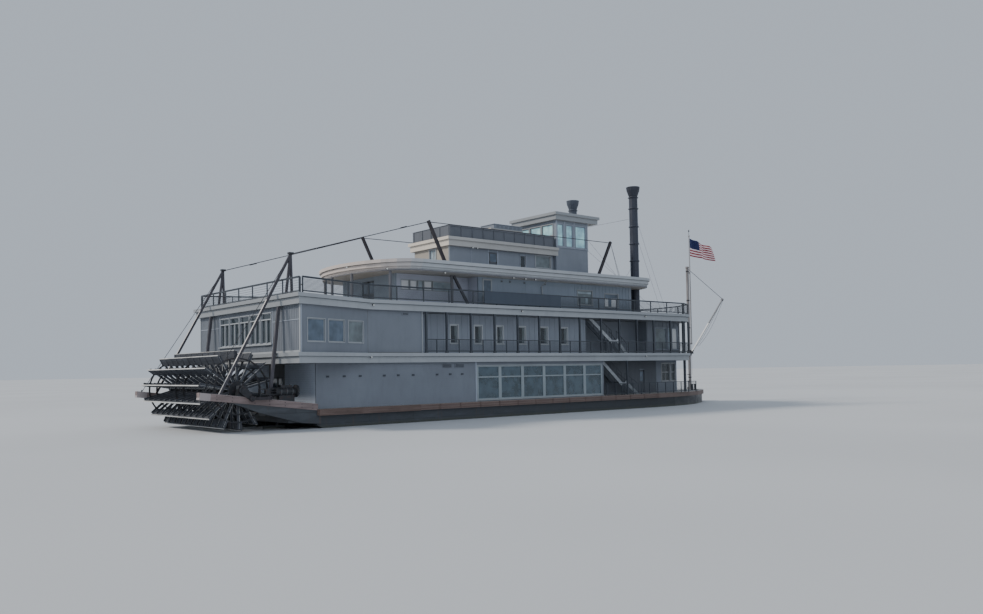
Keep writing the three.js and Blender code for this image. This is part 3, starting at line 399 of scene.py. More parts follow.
def weathered_paint(name, colour, roughness=0.6, grime=0.12, aft=None):
    """Matt paint with broad tonal drift, rain streaks down it, a fine brushed surface and painted shade
    deepening towards the bow.

    aft is a lighter or darker colour for the faces that look astern: painted sunlight or painted shade.
    """
    f = Finish(name, roughness)
    streaks = f.noise(5.0, 5, (1, 1, 0.3))
    fine = f.noise(70.0, 3)
    base = f.drift(f.noise(0.7, 3), colour, 0.94, 1.06)
    if aft:
        base = f.mix(f.between(f.facing("X"), -0.9, -0.3, 1.0, 0.0), base, aft)
    base = f.over(base, streaks, 0.5, 0.78, grime, shade(colour, 0.45))
    base = f.over(f.fade(base, shade(colour, 0.55)), fine, 0.45, 0.75, 0.12, shade(colour, 1.25))
    return f.done(base, streaks, roughness - 0.08, roughness + 0.1, fine, 0.12, 0.004)


def edge_paint(name, edge, top, under, deck_pitch=0.12, aft=None, posts=None):
    """A deck's pale edge boards, with painted shade deepening towards the bow, its planked top and the dim
    boards underneath.

    aft is a lighter or darker colour for the edges that look astern: painted sunlight or painted shade. posts
    is (height, colour) of the posts below the deck; the edge boards below that height take the same colour,
    which on the roof is a painted shadow line along the bottom of its edge.
    """
    f = Finish(name, 0.62)
    streaks = f.noise(4.0, 5, (1, 1, 0.25))
    fine = f.noise(50.0, 3)
    side = f.drift(f.noise(0.5, 3), edge, 0.93, 1.06)
    if aft:
        side = f.mix(f.between(f.facing("X"), -0.95, -0.05, 1.0, 0.0), side, aft)
    side = f.fade(f.over(side, streaks, 0.52, 0.75, 0.2, shade(edge, 0.6)), shade(edge, 0.5))
    grain = f.noise(9.0, 5, (0.15, 3, 1))
    line = f.seams("Y", deck_pitch, 0.008)
    planks = f.mix(line, f.drift(grain, top, 0.8, 1.12, 0.3), shade(top, 0.35))
    up = f.facing("Z")
    on_top = f.math("GREATER_THAN", up, 0.7)
    faced = f.mix(on_top, side, planks)
    if posts:
        faced = f.mix(f.math("LESS_THAN", f.axis("Z"), posts[0] - 0.002), faced, posts[1])
    faced = f.mix(f.math("LESS_THAN", up, -0.7), faced, f.drift(grain, under, 0.85, 1.1, 0.3))
    relief = f.math("SUBTRACT", fine, f.math("MULTIPLY", line, on_top))
    return f.done(faced, streaks, 0.55, 0.75, relief, 0.2, 0.004)


def aged_timber(name, colour, stretch, pale=1.35, aft=None):
    """Weathered timber, its grain drawn out by stretch.

    aft is (height, colour) of painted sunlight on the faces that look astern, below that height.
    """
    f = Finish(name, 0.82, 0, 0.3)
    grain = f.noise(7.0, 8, stretch, 0.65)
    cracks = f.noise(22.0, 6, stretch, 0.7)
    base = f.drift(grain, colour, 0.62, pale, 0.3)
    base = f.over(base, f.noise(1.2, 3), 0.45, 0.7, 0.4, shade(colour, 0.7))
    if aft:
        astern = f.math("LESS_THAN", f.facing("X"), -0.5)
        low = f.math("LESS_THAN", f.axis("Z"), aft[0])
        base = f.mix(f.math("MULTIPLY", astern, low), base, aft[1])
    base = f.over(base, cracks, 0.58, 0.7, 0.6, shade(colour, 0.3))
    relief = f.math("ADD", grain, f.math("MULTIPLY", cracks, 0.6))
    return f.done(base, grain, 0.72, 0.92, relief, 0.45, 0.012)


def banded_paint(name, colour, other, axis, limit, under=None):
    """Paint that changes from one colour to another where it passes limit along an axis.

    Across the boat, along Y, the limit holds on both sides. under is a painted shade on the faces that look
    down.
    """
    f = Finish(name, 0.5)
    wear = f.noise(6.0, 5)
    at = f.math("ABSOLUTE", f.axis(axis)) if axis == "Y" else f.axis(axis)
    base = f.mix(f.between(at, limit - 0.004, limit + 0.004), colour, other)
    if under:
        base = f.mix(f.between(f.facing("Z"), 0.0, 0.25), under, base)
    base = f.over(base, wear, 0.45, 0.75, 0.35, shade(colour, 0.6))
    return f.done(base, wear, 0.42, 0.62, f.noise(50.0, 3), 0.15, 0.004)


def hull_steel(name, colour, band):
    """Near-black hull paint over plates, scuffed, with a dull band at the waterline and painted shade
    deepening towards the bow.
    """
    f = Finish(name, 0.42, 0.0, 0.4)
    plates = f.add("ShaderNodeTexBrick", offset=0.5)
    flat = f.add("ShaderNodeCombineXYZ")
    f.put(f.axis("X"), flat.inputs[0])
    f.put(f.axis("Z"), flat.inputs[1])
    for key, value in (("Scale", 1.0), ("Mortar Size", 0.006), ("Brick Width", 1.9), ("Row Height", 0.42),
                       ("Color1", shade(colour, 0.92)), ("Color2", shade(colour, 1.1)),
                       ("Mortar", shade(colour, 0.45)), ("Vector", flat.outputs[0])):
        f.put(value, plates.inputs[key])
    wear = f.noise(3.0, 6, (0.5, 1, 1.6))
    streak = f.noise(8.0, 5, (1, 1, 0.08))
    base = f.over(plates.outputs["Color"], wear, 0.5, 0.75, 0.5, shade(colour, 1.9))
    base = f.over(base, streak, 0.56, 0.76, 0.35, (0.12, 0.075, 0.05))
    height = f.math("ADD", f.axis("Z"), f.math("MULTIPLY", wear, 0.12))
    near = f.between(height, 0.78, 0.9, 1.0, 0.0)
    base = f.mix(f.math("MULTIPLY", near, 0.75), f.fade(base, shade(colour, 0.4), 0.8), band)
    relief = f.math("SUBTRACT", f.math("MULTIPLY", wear, 0.35), plates.outputs["Fac"])
    return f.done(base, wear, 0.34, 0.6, relief, 0.25, 0.008)


def black_iron(name, colour, rust, roughness=0.5, metallic=0.4, amount=0.35):
    """Machinery paint on cast iron, rusting where it is worn."""
    f = Finish(name, roughness, metallic)
    wear = f.noise(9.0, 7)
    base = f.over(f.drift(wear, colour, 0.8, 1.3, 0.3), wear, 0.55, 0.72, amount, rust)
    return f.done(base, wear, roughness - 0.12, roughness + 0.2, f.noise(60.0, 4), 0.25, 0.004)


def sooty_stack(name, colour, soot_from, soot_to):
    """Chimney paint in rolled sections, dulled by heat and sooted towards the crown."""
    f = Finish(name, 0.5, 0.1)
    wear = f.noise(4.0, 6, (1, 1, 0.4))
    lines = f.seams("Z", 0.6, 0.012)
    base = f.drift(wear, colour, 0.9, 1.25)
    base = f.over(base, f.noise(9.0, 5, (1, 1, 0.06)), 0.55, 0.75, 0.12, (0.08, 0.07, 0.065))
    base = f.mix(lines, base, shade(colour, 0.5))
    base = f.over(base, f.axis("Z"), soot_from, soot_to, 0.25, (0.012, 0.012, 0.014))
    return f.done(base, wear, 0.42, 0.62, f.math("SUBTRACT", wear, lines), 0.2, 0.006)


def tinted_glass(name, tint, clear, roughness=0.06):
    """Window glass, as clear as given, with faint waviness."""
    f = Finish(name, roughness, 0.0, 0.7)
    wave = f.noise(2.5, 2)
    f.colour(f.drift(wave, tint, 0.75, 1.25))
    f.shader.inputs["Transmission Weight"].default_value = clear
    f.shader.inputs["IOR"].default_value = 1.45
    f.bump(wave, 0.03, 0.01)
    return f.material


def striped_cloth(name, canton, red, white, blue):
    """Flag cloth: stripes up its height, a plain canton with rows of dots, and a weave."""
    rows, columns = 13.0, 15.0
    f = Finish(name, 0.85, 0.0, 0.2)
    uv = f.add("ShaderNodeUVMap").outputs["UV"]
    u, v = f.split(uv, "X"), f.split(uv, "Y")
    row = f.math("FLOOR", f.math("MULTIPLY", v, rows))
    odd = f.math("GREATER_THAN", f.math("FRACT", f.math("MULTIPLY", row, 0.5)), 0.25)
    inside = f.math("MULTIPLY", f.math("LESS_THAN", u, canton[0]), f.math("GREATER_THAN", v, canton[1]))
    du, dv = (f.math("SUBTRACT", f.math("FRACT", f.math("MULTIPLY", at, count)), 0.5)
              for at, count in ((u, columns), (v, rows)))
    near = f.math("ADD", f.math("MULTIPLY", du, du), f.math("MULTIPLY", dv, dv))
    field = f.mix(f.math("LESS_THAN", near, 0.02), blue, shade(blue, 4))
    cloth = f.mix(inside, f.mix(odd, red, white), field)
    weave = f.add("ShaderNodeTexWave")
    weave.inputs["Scale"].default_value = 90.0
    f.put(uv, weave.inputs["Vector"])
    f.colour(f.mix(f.math("MULTIPLY", weave.outputs["Fac"], 0.1), cloth, (0.2, 0.2, 0.2)))
    f.shader.inputs["Sheen Weight"].default_value = 0.2
    f.bump(weave.outputs["Fac"], 0.1, 0.002)
    return f.material


class BoatSizes(bpy.types.PropertyGroup):
    """Sizes of the repeated small pieces, in real metres."""

    board_pitch: FloatProperty(
        name="Lap board pitch", description="Height of one row of lap boards", default=0.15, unit="LENGTH")
    batten_pitch: FloatProperty(
        name="Batten pitch", description="Distance between upright battens", default=0.24, unit="LENGTH")
    wire_pitch: FloatProperty(
        name="Wire pitch", description="Distance between the railings' wires", default=0.078, unit="LENGTH")
    casing: FloatProperty(
        name="Casing width", description="Width of the boards round a window", default=0.08, unit="LENGTH")
    wheel_frames: IntProperty(
        name="Wheel frames", description="Number of arm frames along the paddle wheel", default=11, min=3)
    wheel_floats: IntProperty(
        name="Wheel floats", description="Number of float boards round the paddle wheel", default=14, min=6)


class BoatColours(bpy.types.PropertyGroup):
    """Main paints and timbers."""

    wall: FloatVectorProperty(
        name="Walls", description="Blue-grey siding paint", subtype="COLOR", size=3,
        default=(0.178, 0.2, 0.236))
    trim: FloatVectorProperty(
        name="Trim", description="Pale edge boards", subtype="COLOR", size=3,
        default=(0.36, 0.385, 0.41))
    hull: FloatVectorProperty(
        name="Hull", description="Near-black hull paint", subtype="COLOR", size=3,
        default=(0.035, 0.045, 0.056))
    guard: FloatVectorProperty(
        name="Guard", description="Brown rubbing timber", subtype="COLOR", size=3,
        default=(0.19, 0.137, 0.12))
    dark: FloatVectorProperty(
        name="Dark trim", description="Railings and screens", subtype="COLOR", size=3,
        default=(0.045, 0.055, 0.07))
    deck: FloatVectorProperty(
        name="Deck", description="Planked deck tops", subtype="COLOR", size=3,
        default=(0.4, 0.39, 0.37))
    under: FloatVectorProperty(
        name="Eaves", description="Boards under the roofs", subtype="COLOR", size=3,
        default=(0.42, 0.4, 0.38))


# Stage

CAMERA = {"x": -25.1525, "y": -57.9759, "z": 3.729, "yaw": 0.6956, "pitch": 0.0411, "roll": -0.0166,
          "lens": 31.31, "shift": 0.0285}
SUNS = (
    ("key_sun", 12, 2.6, (1.0, 0.93, 0.84), (0.62, -0.5, -0.62)),
    ("fill_sun", 60, 0.5, (0.86, 0.92, 1.0), (0.35, 0.85, -0.45)),
)


def camera_matrix(c):
    """The photograph's viewpoint: yaw turns from port towards the bow."""
    level = math.cos(c["pitch"])
    ahead = Vector((math.sin(c["yaw"]) * level, math.cos(c["yaw"]) * level, math.sin(c["pitch"])))
    right = ahead.cross(Vector(UP)).normalized()
    up = right.cross(ahead)
    r = math.cos(c["roll"]) * right + math.sin(c["roll"]) * up
    u = -math.sin(c["roll"]) * right + math.cos(c["roll"]) * up
    eye = model_point(c["x"], c["y"], c["z"])
    return Matrix(((r.x, u.x, -ahead.x, eye.x), (r.y, u.y, -ahead.y, eye.y),
                   (r.z, u.z, -ahead.z, eye.z), (0, 0, 0, 1)))


class BOAT_OT_stage(bpy.types.Operator):
    """Adds the pale floor at the waterline, the soft lights and the camera"""

    bl_idname = "boat.stage"
    bl_label = "Stage"

    def execute(self, context):
        scene = context.scene
        paint = Finish("pale_floor", 0.8, 0, 0.2)
        tone = paint.between(paint.noise(0.05, 2), 0.4, 0.6)
        paint.colour(paint.mix(tone, (0.52, 0.54, 0.56), (0.56, 0.58, 0.6)))
        FINISHES["floor"] = paint.material
        bm = bmesh.new()
        bmesh.ops.create_circle(bm, cap_ends=True, segments=96, radius=1800,
                                matrix=Matrix.Translation((MIDSHIP_X, 0, 0)))
        make_object(bm, "studio_floor", "floor", False)

        world = bpy.data.worlds.new("studio_world")
        world.use_nodes = True
        sky = world.node_tree.nodes["Background"].inputs
        sky[0].default_value = (0.78, 0.87, 1.0, 1)
        sky[1].default_value = 0.62
        scene.world = world

        for name, angle, energy, colour, direction in SUNS:
            light = bpy.data.lights.new(name, "SUN")
            light.energy = energy
            light.angle = math.radians(angle)
            light.color = colour
            lamp = bpy.data.objects.new(name, light)
            lamp.rotation_mode = "QUATERNION"
            lamp.rotation_quaternion = Vector(direction).to_track_quat("-Z", "Y")
            lamp.location = (0, 0, 40)
            scene.collection.objects.link(lamp)

        data = bpy.data.cameras.new("photo_camera")
        data.sensor_width = 36
        data.lens = CAMERA["lens"]
        data.shift_y = CAMERA["shift"]
        data.clip_end = 2000
        eye = bpy.data.objects.new("photo_camera", data)
        eye.matrix_world = camera_matrix(CAMERA)
        scene.collection.objects.link(eye)
        scene.camera = eye
        return {"FINISHED"}


# Finishes of the CAD nodes

NODE_FINISHES = {
    "hull": "hull rudder_*",
    "main_deck": "main_deck",
    "wall": "main_house second_house_aft",
    "gallery": "second_walls_*",
    "fore": "second_fore_cabin",
    "third": "third_house",
    "texas": "texas_cabin",
    "pilot": "pilothouse",
    "edge": "second_deck third_deck",
    "roof": "hurricane_roof",
    "texas_roof": "texas_roof",
    "pilot_roof": "pilot_roof",
    "main_stair": "main_stair_*",
    "second_stair": "second_stair_*",
    "dark": "gallery_* third_rail_*",
    "deep": "texas_door_*",
    "screen": "roof_screen",
    "board": "bare_board_*",
    "beam": "stern_timber_*",
    "post": "kingpost",
    "leg": "hog_leg_*",
    "mast": "hog_mast_*",
    "slant": "hog_posts_* pitman_*",
    "wheel": "paddle_wheel",
    "iron": "engine_* bearing_* boom_swivel bitts_*",
    "port_stack": "chimney_port",
    "stack": "chimney_starboard",
    "glazing": "window_wall_*",
    "pole": "flagpole flag",
    "boom": "boom",
}
PAINT_CHANGE = 8.6  # height where the boom changes colour, and below which the stern masts' faces that look astern carry painted sunlight
OUTER_STRINGS = (5.37, 4.42)  # half widths where the pale outer strings of the main and second stairs begin


class BOAT_OT_finishes(bpy.types.Operator):
    """Makes every material and gives one to each CAD node"""

    bl_idname = "boat.finishes"
    bl_label = "Finishes"

    def execute(self, context):
        c = context.scene.boat_colours
        wall, trim, hull, guard, dark, deck, under = (
            tuple(getattr(c, key)) for key in ("wall", "trim", "hull", "guard", "dark", "deck", "under"))
        roof_board, ceiling = (0.34, 0.35, 0.37), (0.2, 0.21, 0.23)
        edge_posts = (model_height(SECOND_BOTTOM), dark)
        # the roof's post colour also reaches 0.09 up the bottom of the roof's edge boards, a painted shadow
        # line under the edge
        roof_posts_and_shadow_line = (model_height(HURRICANE_BOTTOM + 0.09), (0.13, 0.132, 0.15))
        upright, level = (1.5, 1.5, 0.12), (0.12, 1.5, 1.5)
        recipes = (
            (weathered_paint, {
                # the siding's faces that look astern take a darker copy of it, painted shade
                "wall": ("siding_paint", wall, 0.6, 0.12, shade(wall, 0.9)),
                # these wall paints are lighter copies of the siding paint, painted light for each wall: under
                # the decks, the canopy and in the wheel bay
                "gallery": ("gallery_wall_paint", shade(wall, 1.85)),
                "fore": ("fore_cabin_paint", shade(wall, 1.15)),
                "recess": ("stair_lobby_paint", shade(wall, 1.3)),
                "third": ("third_house_paint", shade(wall, 1.4, 1.5, 1.55)),
                "third_aft": ("canopy_wall_paint", shade(wall, 2.75, 2.6, 2.6)),
                # a darker copy of the siding paint, painted shade on the fore side wall by the stair; the
                # doors share this dark paint
                "deep": ("fore_side_wall_paint", shade(wall, 0.52)),
                "aft_wall": ("wheel_bay_wall_paint", shade(wall, 2.7)),
                # a lighter copy of the siding paint, with painted sunlight on the faces that look astern
                "texas": ("texas_wall_paint", shade(wall, 1.2), 0.6, 0.12, (0.4, 0.36, 0.3)),
                "pilot": ("pilothouse_paint", shade(wall, 1.3)),
                "trim": ("trim_paint", trim, 0.6, 0.1),
                "white": ("white_window_paint", (0.36, 0.375, 0.39), 0.5, 0.1),
                "sash": ("gallery_sash_paint", (0.6, 0.63, 0.66), 0.5, 0.1),
                # white of the blinds, also used for panes that stand for painted reflections
                "blind": ("white_blind", (0.8, 0.82, 0.84), 0.6, 0.03),
                "glazing": ("window_wall_paint", (0.28, 0.325, 0.35), 0.5, 0.1),
                "pole": ("pole_paint", (0.42, 0.42, 0.43), 0.4, 0.1),
                "dark": ("dark_rail_paint", dark, 0.5, 0.2),
                # a darker copy of the trim: painted shade in the grooves under the deck lips, and dark joints
                # and strips on the walls
                "groove": ("groove_paint", shade(trim, 0.38), 0.7, 0.1),
                "screen": ("screen_paint", (0.117, 0.13, 0.155), 0.6, 0.2),
                "board": ("bare_board_paint", (0.045, 0.063, 0.09), 0.45, 0.15),
                "lamp": ("lamp_globe", (0.75, 0.75, 0.72), 0.25, 0.02),
                "end": ("timber_end_paint", (0.36, 0.32, 0.32), 0.6, 0.3),
                # the port chimney's paint made lighter than the starboard one's, painted light
                "port_stack": ("port_chimney_paint", (0.065, 0.08, 0.11), 0.5, 0.2),
            }),
            (edge_paint, {
                "main_deck": ("main_deck_boards", guard, deck, guard),
                # painted shade on the edge boards that look astern
                "edge": ("deck_edge_boards", trim, deck, ceiling, 0.12, shade(trim, 0.76), edge_posts),
                # a lighter copy of the trim, with painted sunlight on the edges that look astern and the
                # painted shadow line along the bottom
                "roof": ("roof_edge_boards", shade(trim, 1.2), roof_board, under, 0.45, (0.6, 0.53, 0.49),
                         roof_posts_and_shadow_line),
                # painted sunlight on the texas roof's edges that look astern
                "texas_roof": ("texas_roof_boards", (0.45, 0.45, 0.44), roof_board, under, 0.45,
                               (0.75, 0.68, 0.58)),
                "pilot_roof": ("pilot_roof_boards", shade(trim, 0.9), roof_board, under, 0.45),
            }),
            (banded_paint, {
                "main_stair": ("main_stair_paint", dark, shade(trim, 0.85), "Y",
                               OUTER_STRINGS[0] * MODEL_SCALE),
                # the stair's dark and pale paints made lighter than on the main stair, painted light
                "second_stair": ("second_stair_paint", shade(dark, 1.8), shade(trim, 1.35), "Y",
                                 OUTER_STRINGS[1] * MODEL_SCALE),
                # the boom's underside darkened, painted shade
                "boom": ("boom_paint", (0.85, 0.84, 0.82), (0.26, 0.26, 0.27), "Z",
                         model_height(PAINT_CHANGE), (0.02, 0.02, 0.022)),
            }),
            (aged_timber, {
                "guard": ("guard_timber", shade(guard, 0.8), level),
                "beam": ("stern_timber", (0.24, 0.19, 0.185), level),
                # the masts' faces that look astern below PAINT_CHANGE are pale, painted sunlight
                "mast": ("mast_timber", (0.075, 0.073, 0.086), upright, 1.35,
                         (model_height(PAINT_CHANGE), (0.62, 0.6, 0.58))),
                "slant": ("hog_post_timber", (0.05, 0.046, 0.052), upright),
                "leg": ("hog_leg_timber", (0.088, 0.086, 0.1), upright),
                "post": ("kingpost_timber", (0.27, 0.255, 0.255), (2, 2, 0.12)),
                "wheel": ("wheel_timber", (0.07, 0.076, 0.09), (1.2, 1.2, 1.2)),
                "float": ("float_board_timber", (0.064, 0.072, 0.088), (2.0, 0.15, 2.0)),
                # pale paint of strips that stand for painted highlights on the floats' and arms' edges
                "pale": ("worn_float_edge", (0.7, 0.7, 0.68), (2.0, 0.2, 2.0), 1.15),
                "rope": ("rope", (0.07, 0.075, 0.09), (3, 3, 3)),
            }),
            (black_iron, {
                "iron": ("black_iron", (0.034, 0.036, 0.042), (0.12, 0.05, 0.025)),
                "bright": ("worn_steel", (0.13, 0.135, 0.145), (0.09, 0.06, 0.045), 0.4, 0.8, 0.3),
            }),
            (tinted_glass, {
                "glass": ("clear_glass", (0.125, 0.19, 0.235), 0.5),
                # near-opaque panes whose tints are painted reflections of the sky
                "pilot_glass": ("pilothouse_glass", (0.46, 0.78, 0.9), 0.05, 0.08),
                "sky_glass": ("sky_glass", (0.095, 0.135, 0.185), 0.1),
                "pale_glass": ("pale_glass", (0.15, 0.185, 0.2), 0.1),
                "light_glass": ("light_glass", (0.34, 0.42, 0.47), 0.1),
                "dim_glass": ("dim_glass", (0.035, 0.05, 0.06), 0.25),
            }),
            (hull_steel, {"hull": ("hull_paint", shade(hull, 1.65, 1.45, 1.35), (0.06, 0.065, 0.05))}),
            (sooty_stack, {"stack": ("chimney_paint", (0.03, 0.036, 0.055), 9.6, 11.2)}),
            (striped_cloth, {"cloth": ("flag_cloth", (0.4, 6 / 13), (0.28, 0.012, 0.024),
                                       (0.85, 0.72, 0.74), (0.01, 0.016, 0.075))}),
        )
        for make, finishes in recipes:
            for key, recipe in finishes.items():
                FINISHES[key] = make(*recipe)
        for name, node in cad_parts.items():
            key = next(k for k, names in NODE_FINISHES.items()
                       if any(fnmatch(name, pattern) for pattern in names.split()))
            node.data.materials.clear()
            node.data.materials.append(FINISHES[key])
        return {"FINISHED"}


# Walls

WALL_GAP = 0.001
FOOT = 0.16  # height of the skirting boards


def storey(floor, ceiling):
    """Bottom and top of the boards between two decks."""
    return floor + 0.01, ceiling - 0.01


def lap_boards(bm, place, start, end, z0, z1, pitch, holes=(), index=0):
    """Rows of lapped boards, each thicker at its lower edge, cut round the holes."""
    proud = 0.02
    rows = max(1, round((z1 - z0) / pitch))
    step = (z1 - z0) / rows
    for i in range(rows):
        lo, hi = z0 + i * step, z0 + (i + 1) * step
        blocked = [h[:2] for h in holes if h[2] < hi - 0.02 and h[3] > lo + 0.02]
        for u0, u1 in free_spans(start, end, blocked):
            made = add_box(bm, u0, u1, 0.0, proud, lo + 0.004, hi, index)
            upper = [v for v in made if v.co.z > (lo + hi) / 2 and v.co.y > proud / 2]
            bmesh.ops.translate(bm, verts=upper, vec=(0, -proud * 0.7, 0))
            bmesh.ops.transform(bm, matrix=place, verts=made)


def battens(bm, place, start, end, z0, z1, pitch, holes, width, proud, index=0):
    """Upright battens, stopped above and below the holes."""
    count = max(1, round((end - start) / pitch))
    for i in range(count + 1):
        u = start + (end - start) * i / count
        blocked = [(h[2] - 0.12, h[3] + 0.12) for h in holes if h[0] - 0.16 < u < h[1] + 0.16]
        for lo, hi in free_spans(z0, z1, blocked):
            add_box(bm, u - width / 2, u + width / 2, 0.0, proud, lo, hi, index, place)


def strips(bm, place, z0, z1, rows):
    """Boards on a wall from z0 to z1, each as [from, to, thickness, paint]."""
    for u0, u1, proud, index in rows:
        add_box(bm, u0, u1, 0, proud, z0, z1, index, place)


class BOAT_OT_walls(bpy.types.Operator):
    """Adds lap boards, battens, corner boards and skirtings to the houses"""

    bl_idname = "boat.walls"
    bl_label = "Walls"

    def execute(self, context):
        sizes = context.scene.boat_sizes
        pitch = sizes.board_pitch
        boards, trims = bmesh.new(), bmesh.new()
        # board paints after the first are lighter and darker copies of the siding paint, painted light and
        # painted shade on each wall
        _, gallery, deep, pale, fore, recess, third, third_aft = range(8)
        trim, groove, soft, plain = range(4)
        m0, m1 = storey(MAIN_TOP, SECOND_BOTTOM)
        s0, s1 = storey(SECOND_TOP, THIRD_BOTTOM)
        t0, t1 = storey(THIRD_TOP, HURRICANE_BOTTOM)
        r0, r1 = storey(HURRICANE_TOP, TEXAS_ROOF_BOTTOM)
        p0, p1 = 14.75, PILOT_ROOF_BOTTOM - 0.01
        for side in SIDES:
            # main deck house
            place = side_wall(WALL_HALF + WALL_GAP, side)
            lap_boards(boards, place, MAIN_STERN + 0.14, GLAZED[0] - 0.14, m0, m1, pitch)
            lap_boards(boards, place, GLAZED[0] - 0.12, 31.2, GLAZED[3] + 0.1, m1, pitch)
            strips(trims, place, m0, m1, ((MAIN_STERN, MAIN_STERN + 0.14, 0.035, plain),
                                          (GLAZED[0] - 0.14, GLAZED[0] - 0.01, 0.045, soft)))
            # second deck: flush side wall of plain sheets, a seam where the flare starts and a dark foot
            strips(trims, place, s0, s1, ((FLARE_END - 0.015, FLARE_END + 0.015, 0.006, groove),
                                          (11.62, 11.7, 0.04, trim)))
            strips(trims, place, s0, s0 + 0.055, ((FLARE_END + 0.02, 11.56, 0.012, groove),))
            strips(trims, flare_wall(side, WALL_GAP), s0, s1, ((0.0, 0.08, 0.03, soft),))
            # gallery walls
            place = side_wall(GALLERY_HALF + WALL_GAP, side)
            battens(boards, place, 11.9, 30.7, s0, s1, 0.6, GALLERY_WINDOWS, 0.04, 0.02, gallery)
            battens(boards, place, 39.5, 44.2, s0, s1, 0.56, FORE_WINDOWS, 0.04, 0.02, fore)
            strips(boards, place, s0, s0 + FOOT,
                   ((*GALLERY_ENDS, 0.03, gallery), (*FORE_CABIN_ENDS, 0.03, fore)))
            # stair lobby between the cabins, faced in a lighter copy of the siding paint as painted light
            aft, bow = GALLERY_ENDS[1], FORE_CABIN_ENDS[0]
            for x0, x1, inner, outer in (
                (aft + 0.02, bow - 0.02, 0.001, 0.015),
                (bow - 0.015, bow - 0.001, 0.02, 1.38),
                (aft + 0.001, aft + 0.015, 0.02, 1.38),
            ):
                y0, y1 = side * (LOBBY_HALF + inner), side * (LOBBY_HALF + outer)
                add_box(boards, x0, x1, y0, y1, s0, s1, recess)
            # main deck fore cabin: boards by the stair darkened as painted shade, paler ones forward in
            # painted light
            for start, end, index in ((31.35, 40.62, deep), (40.66, 43.66, fore)):
                lap_boards(boards, place, start, end, m0, m1, pitch, MAIN_FORE, index)
            strips(trims, place, m0, m1, ((43.66, MAIN_BOW, 0.04, soft),))
            # third deck house
            place = side_wall(THIRD_AFT_HALF + WALL_GAP, side)
            lap_boards(boards, place, 10.7, THIRD_STEP, t0, t1, pitch, [THIRD_AFT], third_aft)
            x0, x1 = THIRD_STEP - 0.015, THIRD_STEP - 0.001
            add_box(boards, x0, x1, side * 3.93, side * 5.08, t0, t1, third_aft)
            place = side_wall(THIRD_HALF + WALL_GAP, side)
            battens(boards, place, 28.6, 35.8, t0, t1, 0.45, THIRD_FORE, 0.035, 0.015, third)
            battens(boards, place, 17.8, 27.8, t0, t1, 2.5, (), 0.03, 0.008, third)
            strips(boards, place, t0, t0 + FOOT, ((THIRD_STEP + 0.1, THIRD_BOW, 0.03, third),))
            strips(trims, place, t0, t1, ((THIRD_BOW - 0.12, THIRD_BOW, 0.035, soft),))
            add_box(boards, THIRD_BOW + 0.002, THIRD_BOW + 0.2, side * 4.95, side * THIRD_HALF, t0, t1, third)
            strips(trims, place, 10.9, 11.02,
                   [(x - 0.07, x + 0.07, 0.06, groove) for x in (20.15, 21.05, 22.65, 25.0)])
            # texas cabin and pilothouse
            place = side_wall(TEXAS[2] + WALL_GAP, side)
            strips(trims, place, r0, r1, (
                (19.185, 19.215, 0.02, soft), (20.97, 21.07, 0.02, soft), (22.02, 22.12, 0.02, soft),
                (TEXAS[0], TEXAS[0] + 0.12, 0.035, trim)))
            strips(trims, place, 12.16, 12.42, ((22.35, 22.9, 0.3, groove),))
            place = side_wall(PILOT[2] + WALL_GAP, side)
            strips(trims, place, p0, p1, [(x - 0.07, x + 0.07, 0.04, soft)
                                          for x in (PILOT[0] + 0.07, 29.9, 31.1, PILOT[1] - 0.07)])
            strips(trims, place, p0, p0 + 0.12, ((*PILOT[:2], 0.06, soft),))
        # stern wall of the second deck, looking aft
        place = end_wall(SECOND_STERN[0] - WALL_GAP, -1)
        y0, y1 = STERN_BAND[:2]
        battens(boards, place, -8.3, 8.3, s0, s1, sizes.batten_pitch, [STERN_BAND], 0.03, 0.014)
        for corner, inner in ((-8.38, y0 - 0.1), (8.38, y1 + 0.1)):
            strips(trims, place, 7.18, 7.23, ((corner, inner, 0.03, soft),))
            strips(trims, place, s0, s1, ((inner - 0.03, inner + 0.03, 0.03, soft),))
        strips(trims, place, s0, s0 + 0.12, ((-8.38, 8.38, 0.035, trim),))
        strips(trims, place, s0, s1, ((-8.4, -8.26, 0.045, trim), (8.26, 8.4, 0.045, trim)))
        # stern wall of the main deck in the wheel bay's lighter copy of the siding paint, painted light, with
        # the frame of its door
        place = end_wall(MAIN_STERN - WALL_GAP, -1)
        lap_boards(boards, place, -5.75, 5.75, m0, m1, pitch, [(-1.25, 1.25, MAIN_TOP, m1)], pale)
        strips(trims, place, m0, m1, ((-1.24, -1.01, 0.03, groove), (1.01, 1.24, 0.03, groove)))
        strips(trims, place, 3.51, m1, ((-1.01, 1.01, 0.03, groove),))
        paints = "wall gallery deep aft_wall fore recess third third_aft"
        make_piece(boards, "wall_boards", paints)
        make_piece(trims, "wall_trims", "trim groove gallery wall")
        return {"FINISHED"}


# Windows

PANES = "glass sky_glass dim_glass pale_glass blind pilot_glass light_glass"
REFLECTION = (-0.072, -0.06)  # depth of a thin pane that stands for a bright reflection


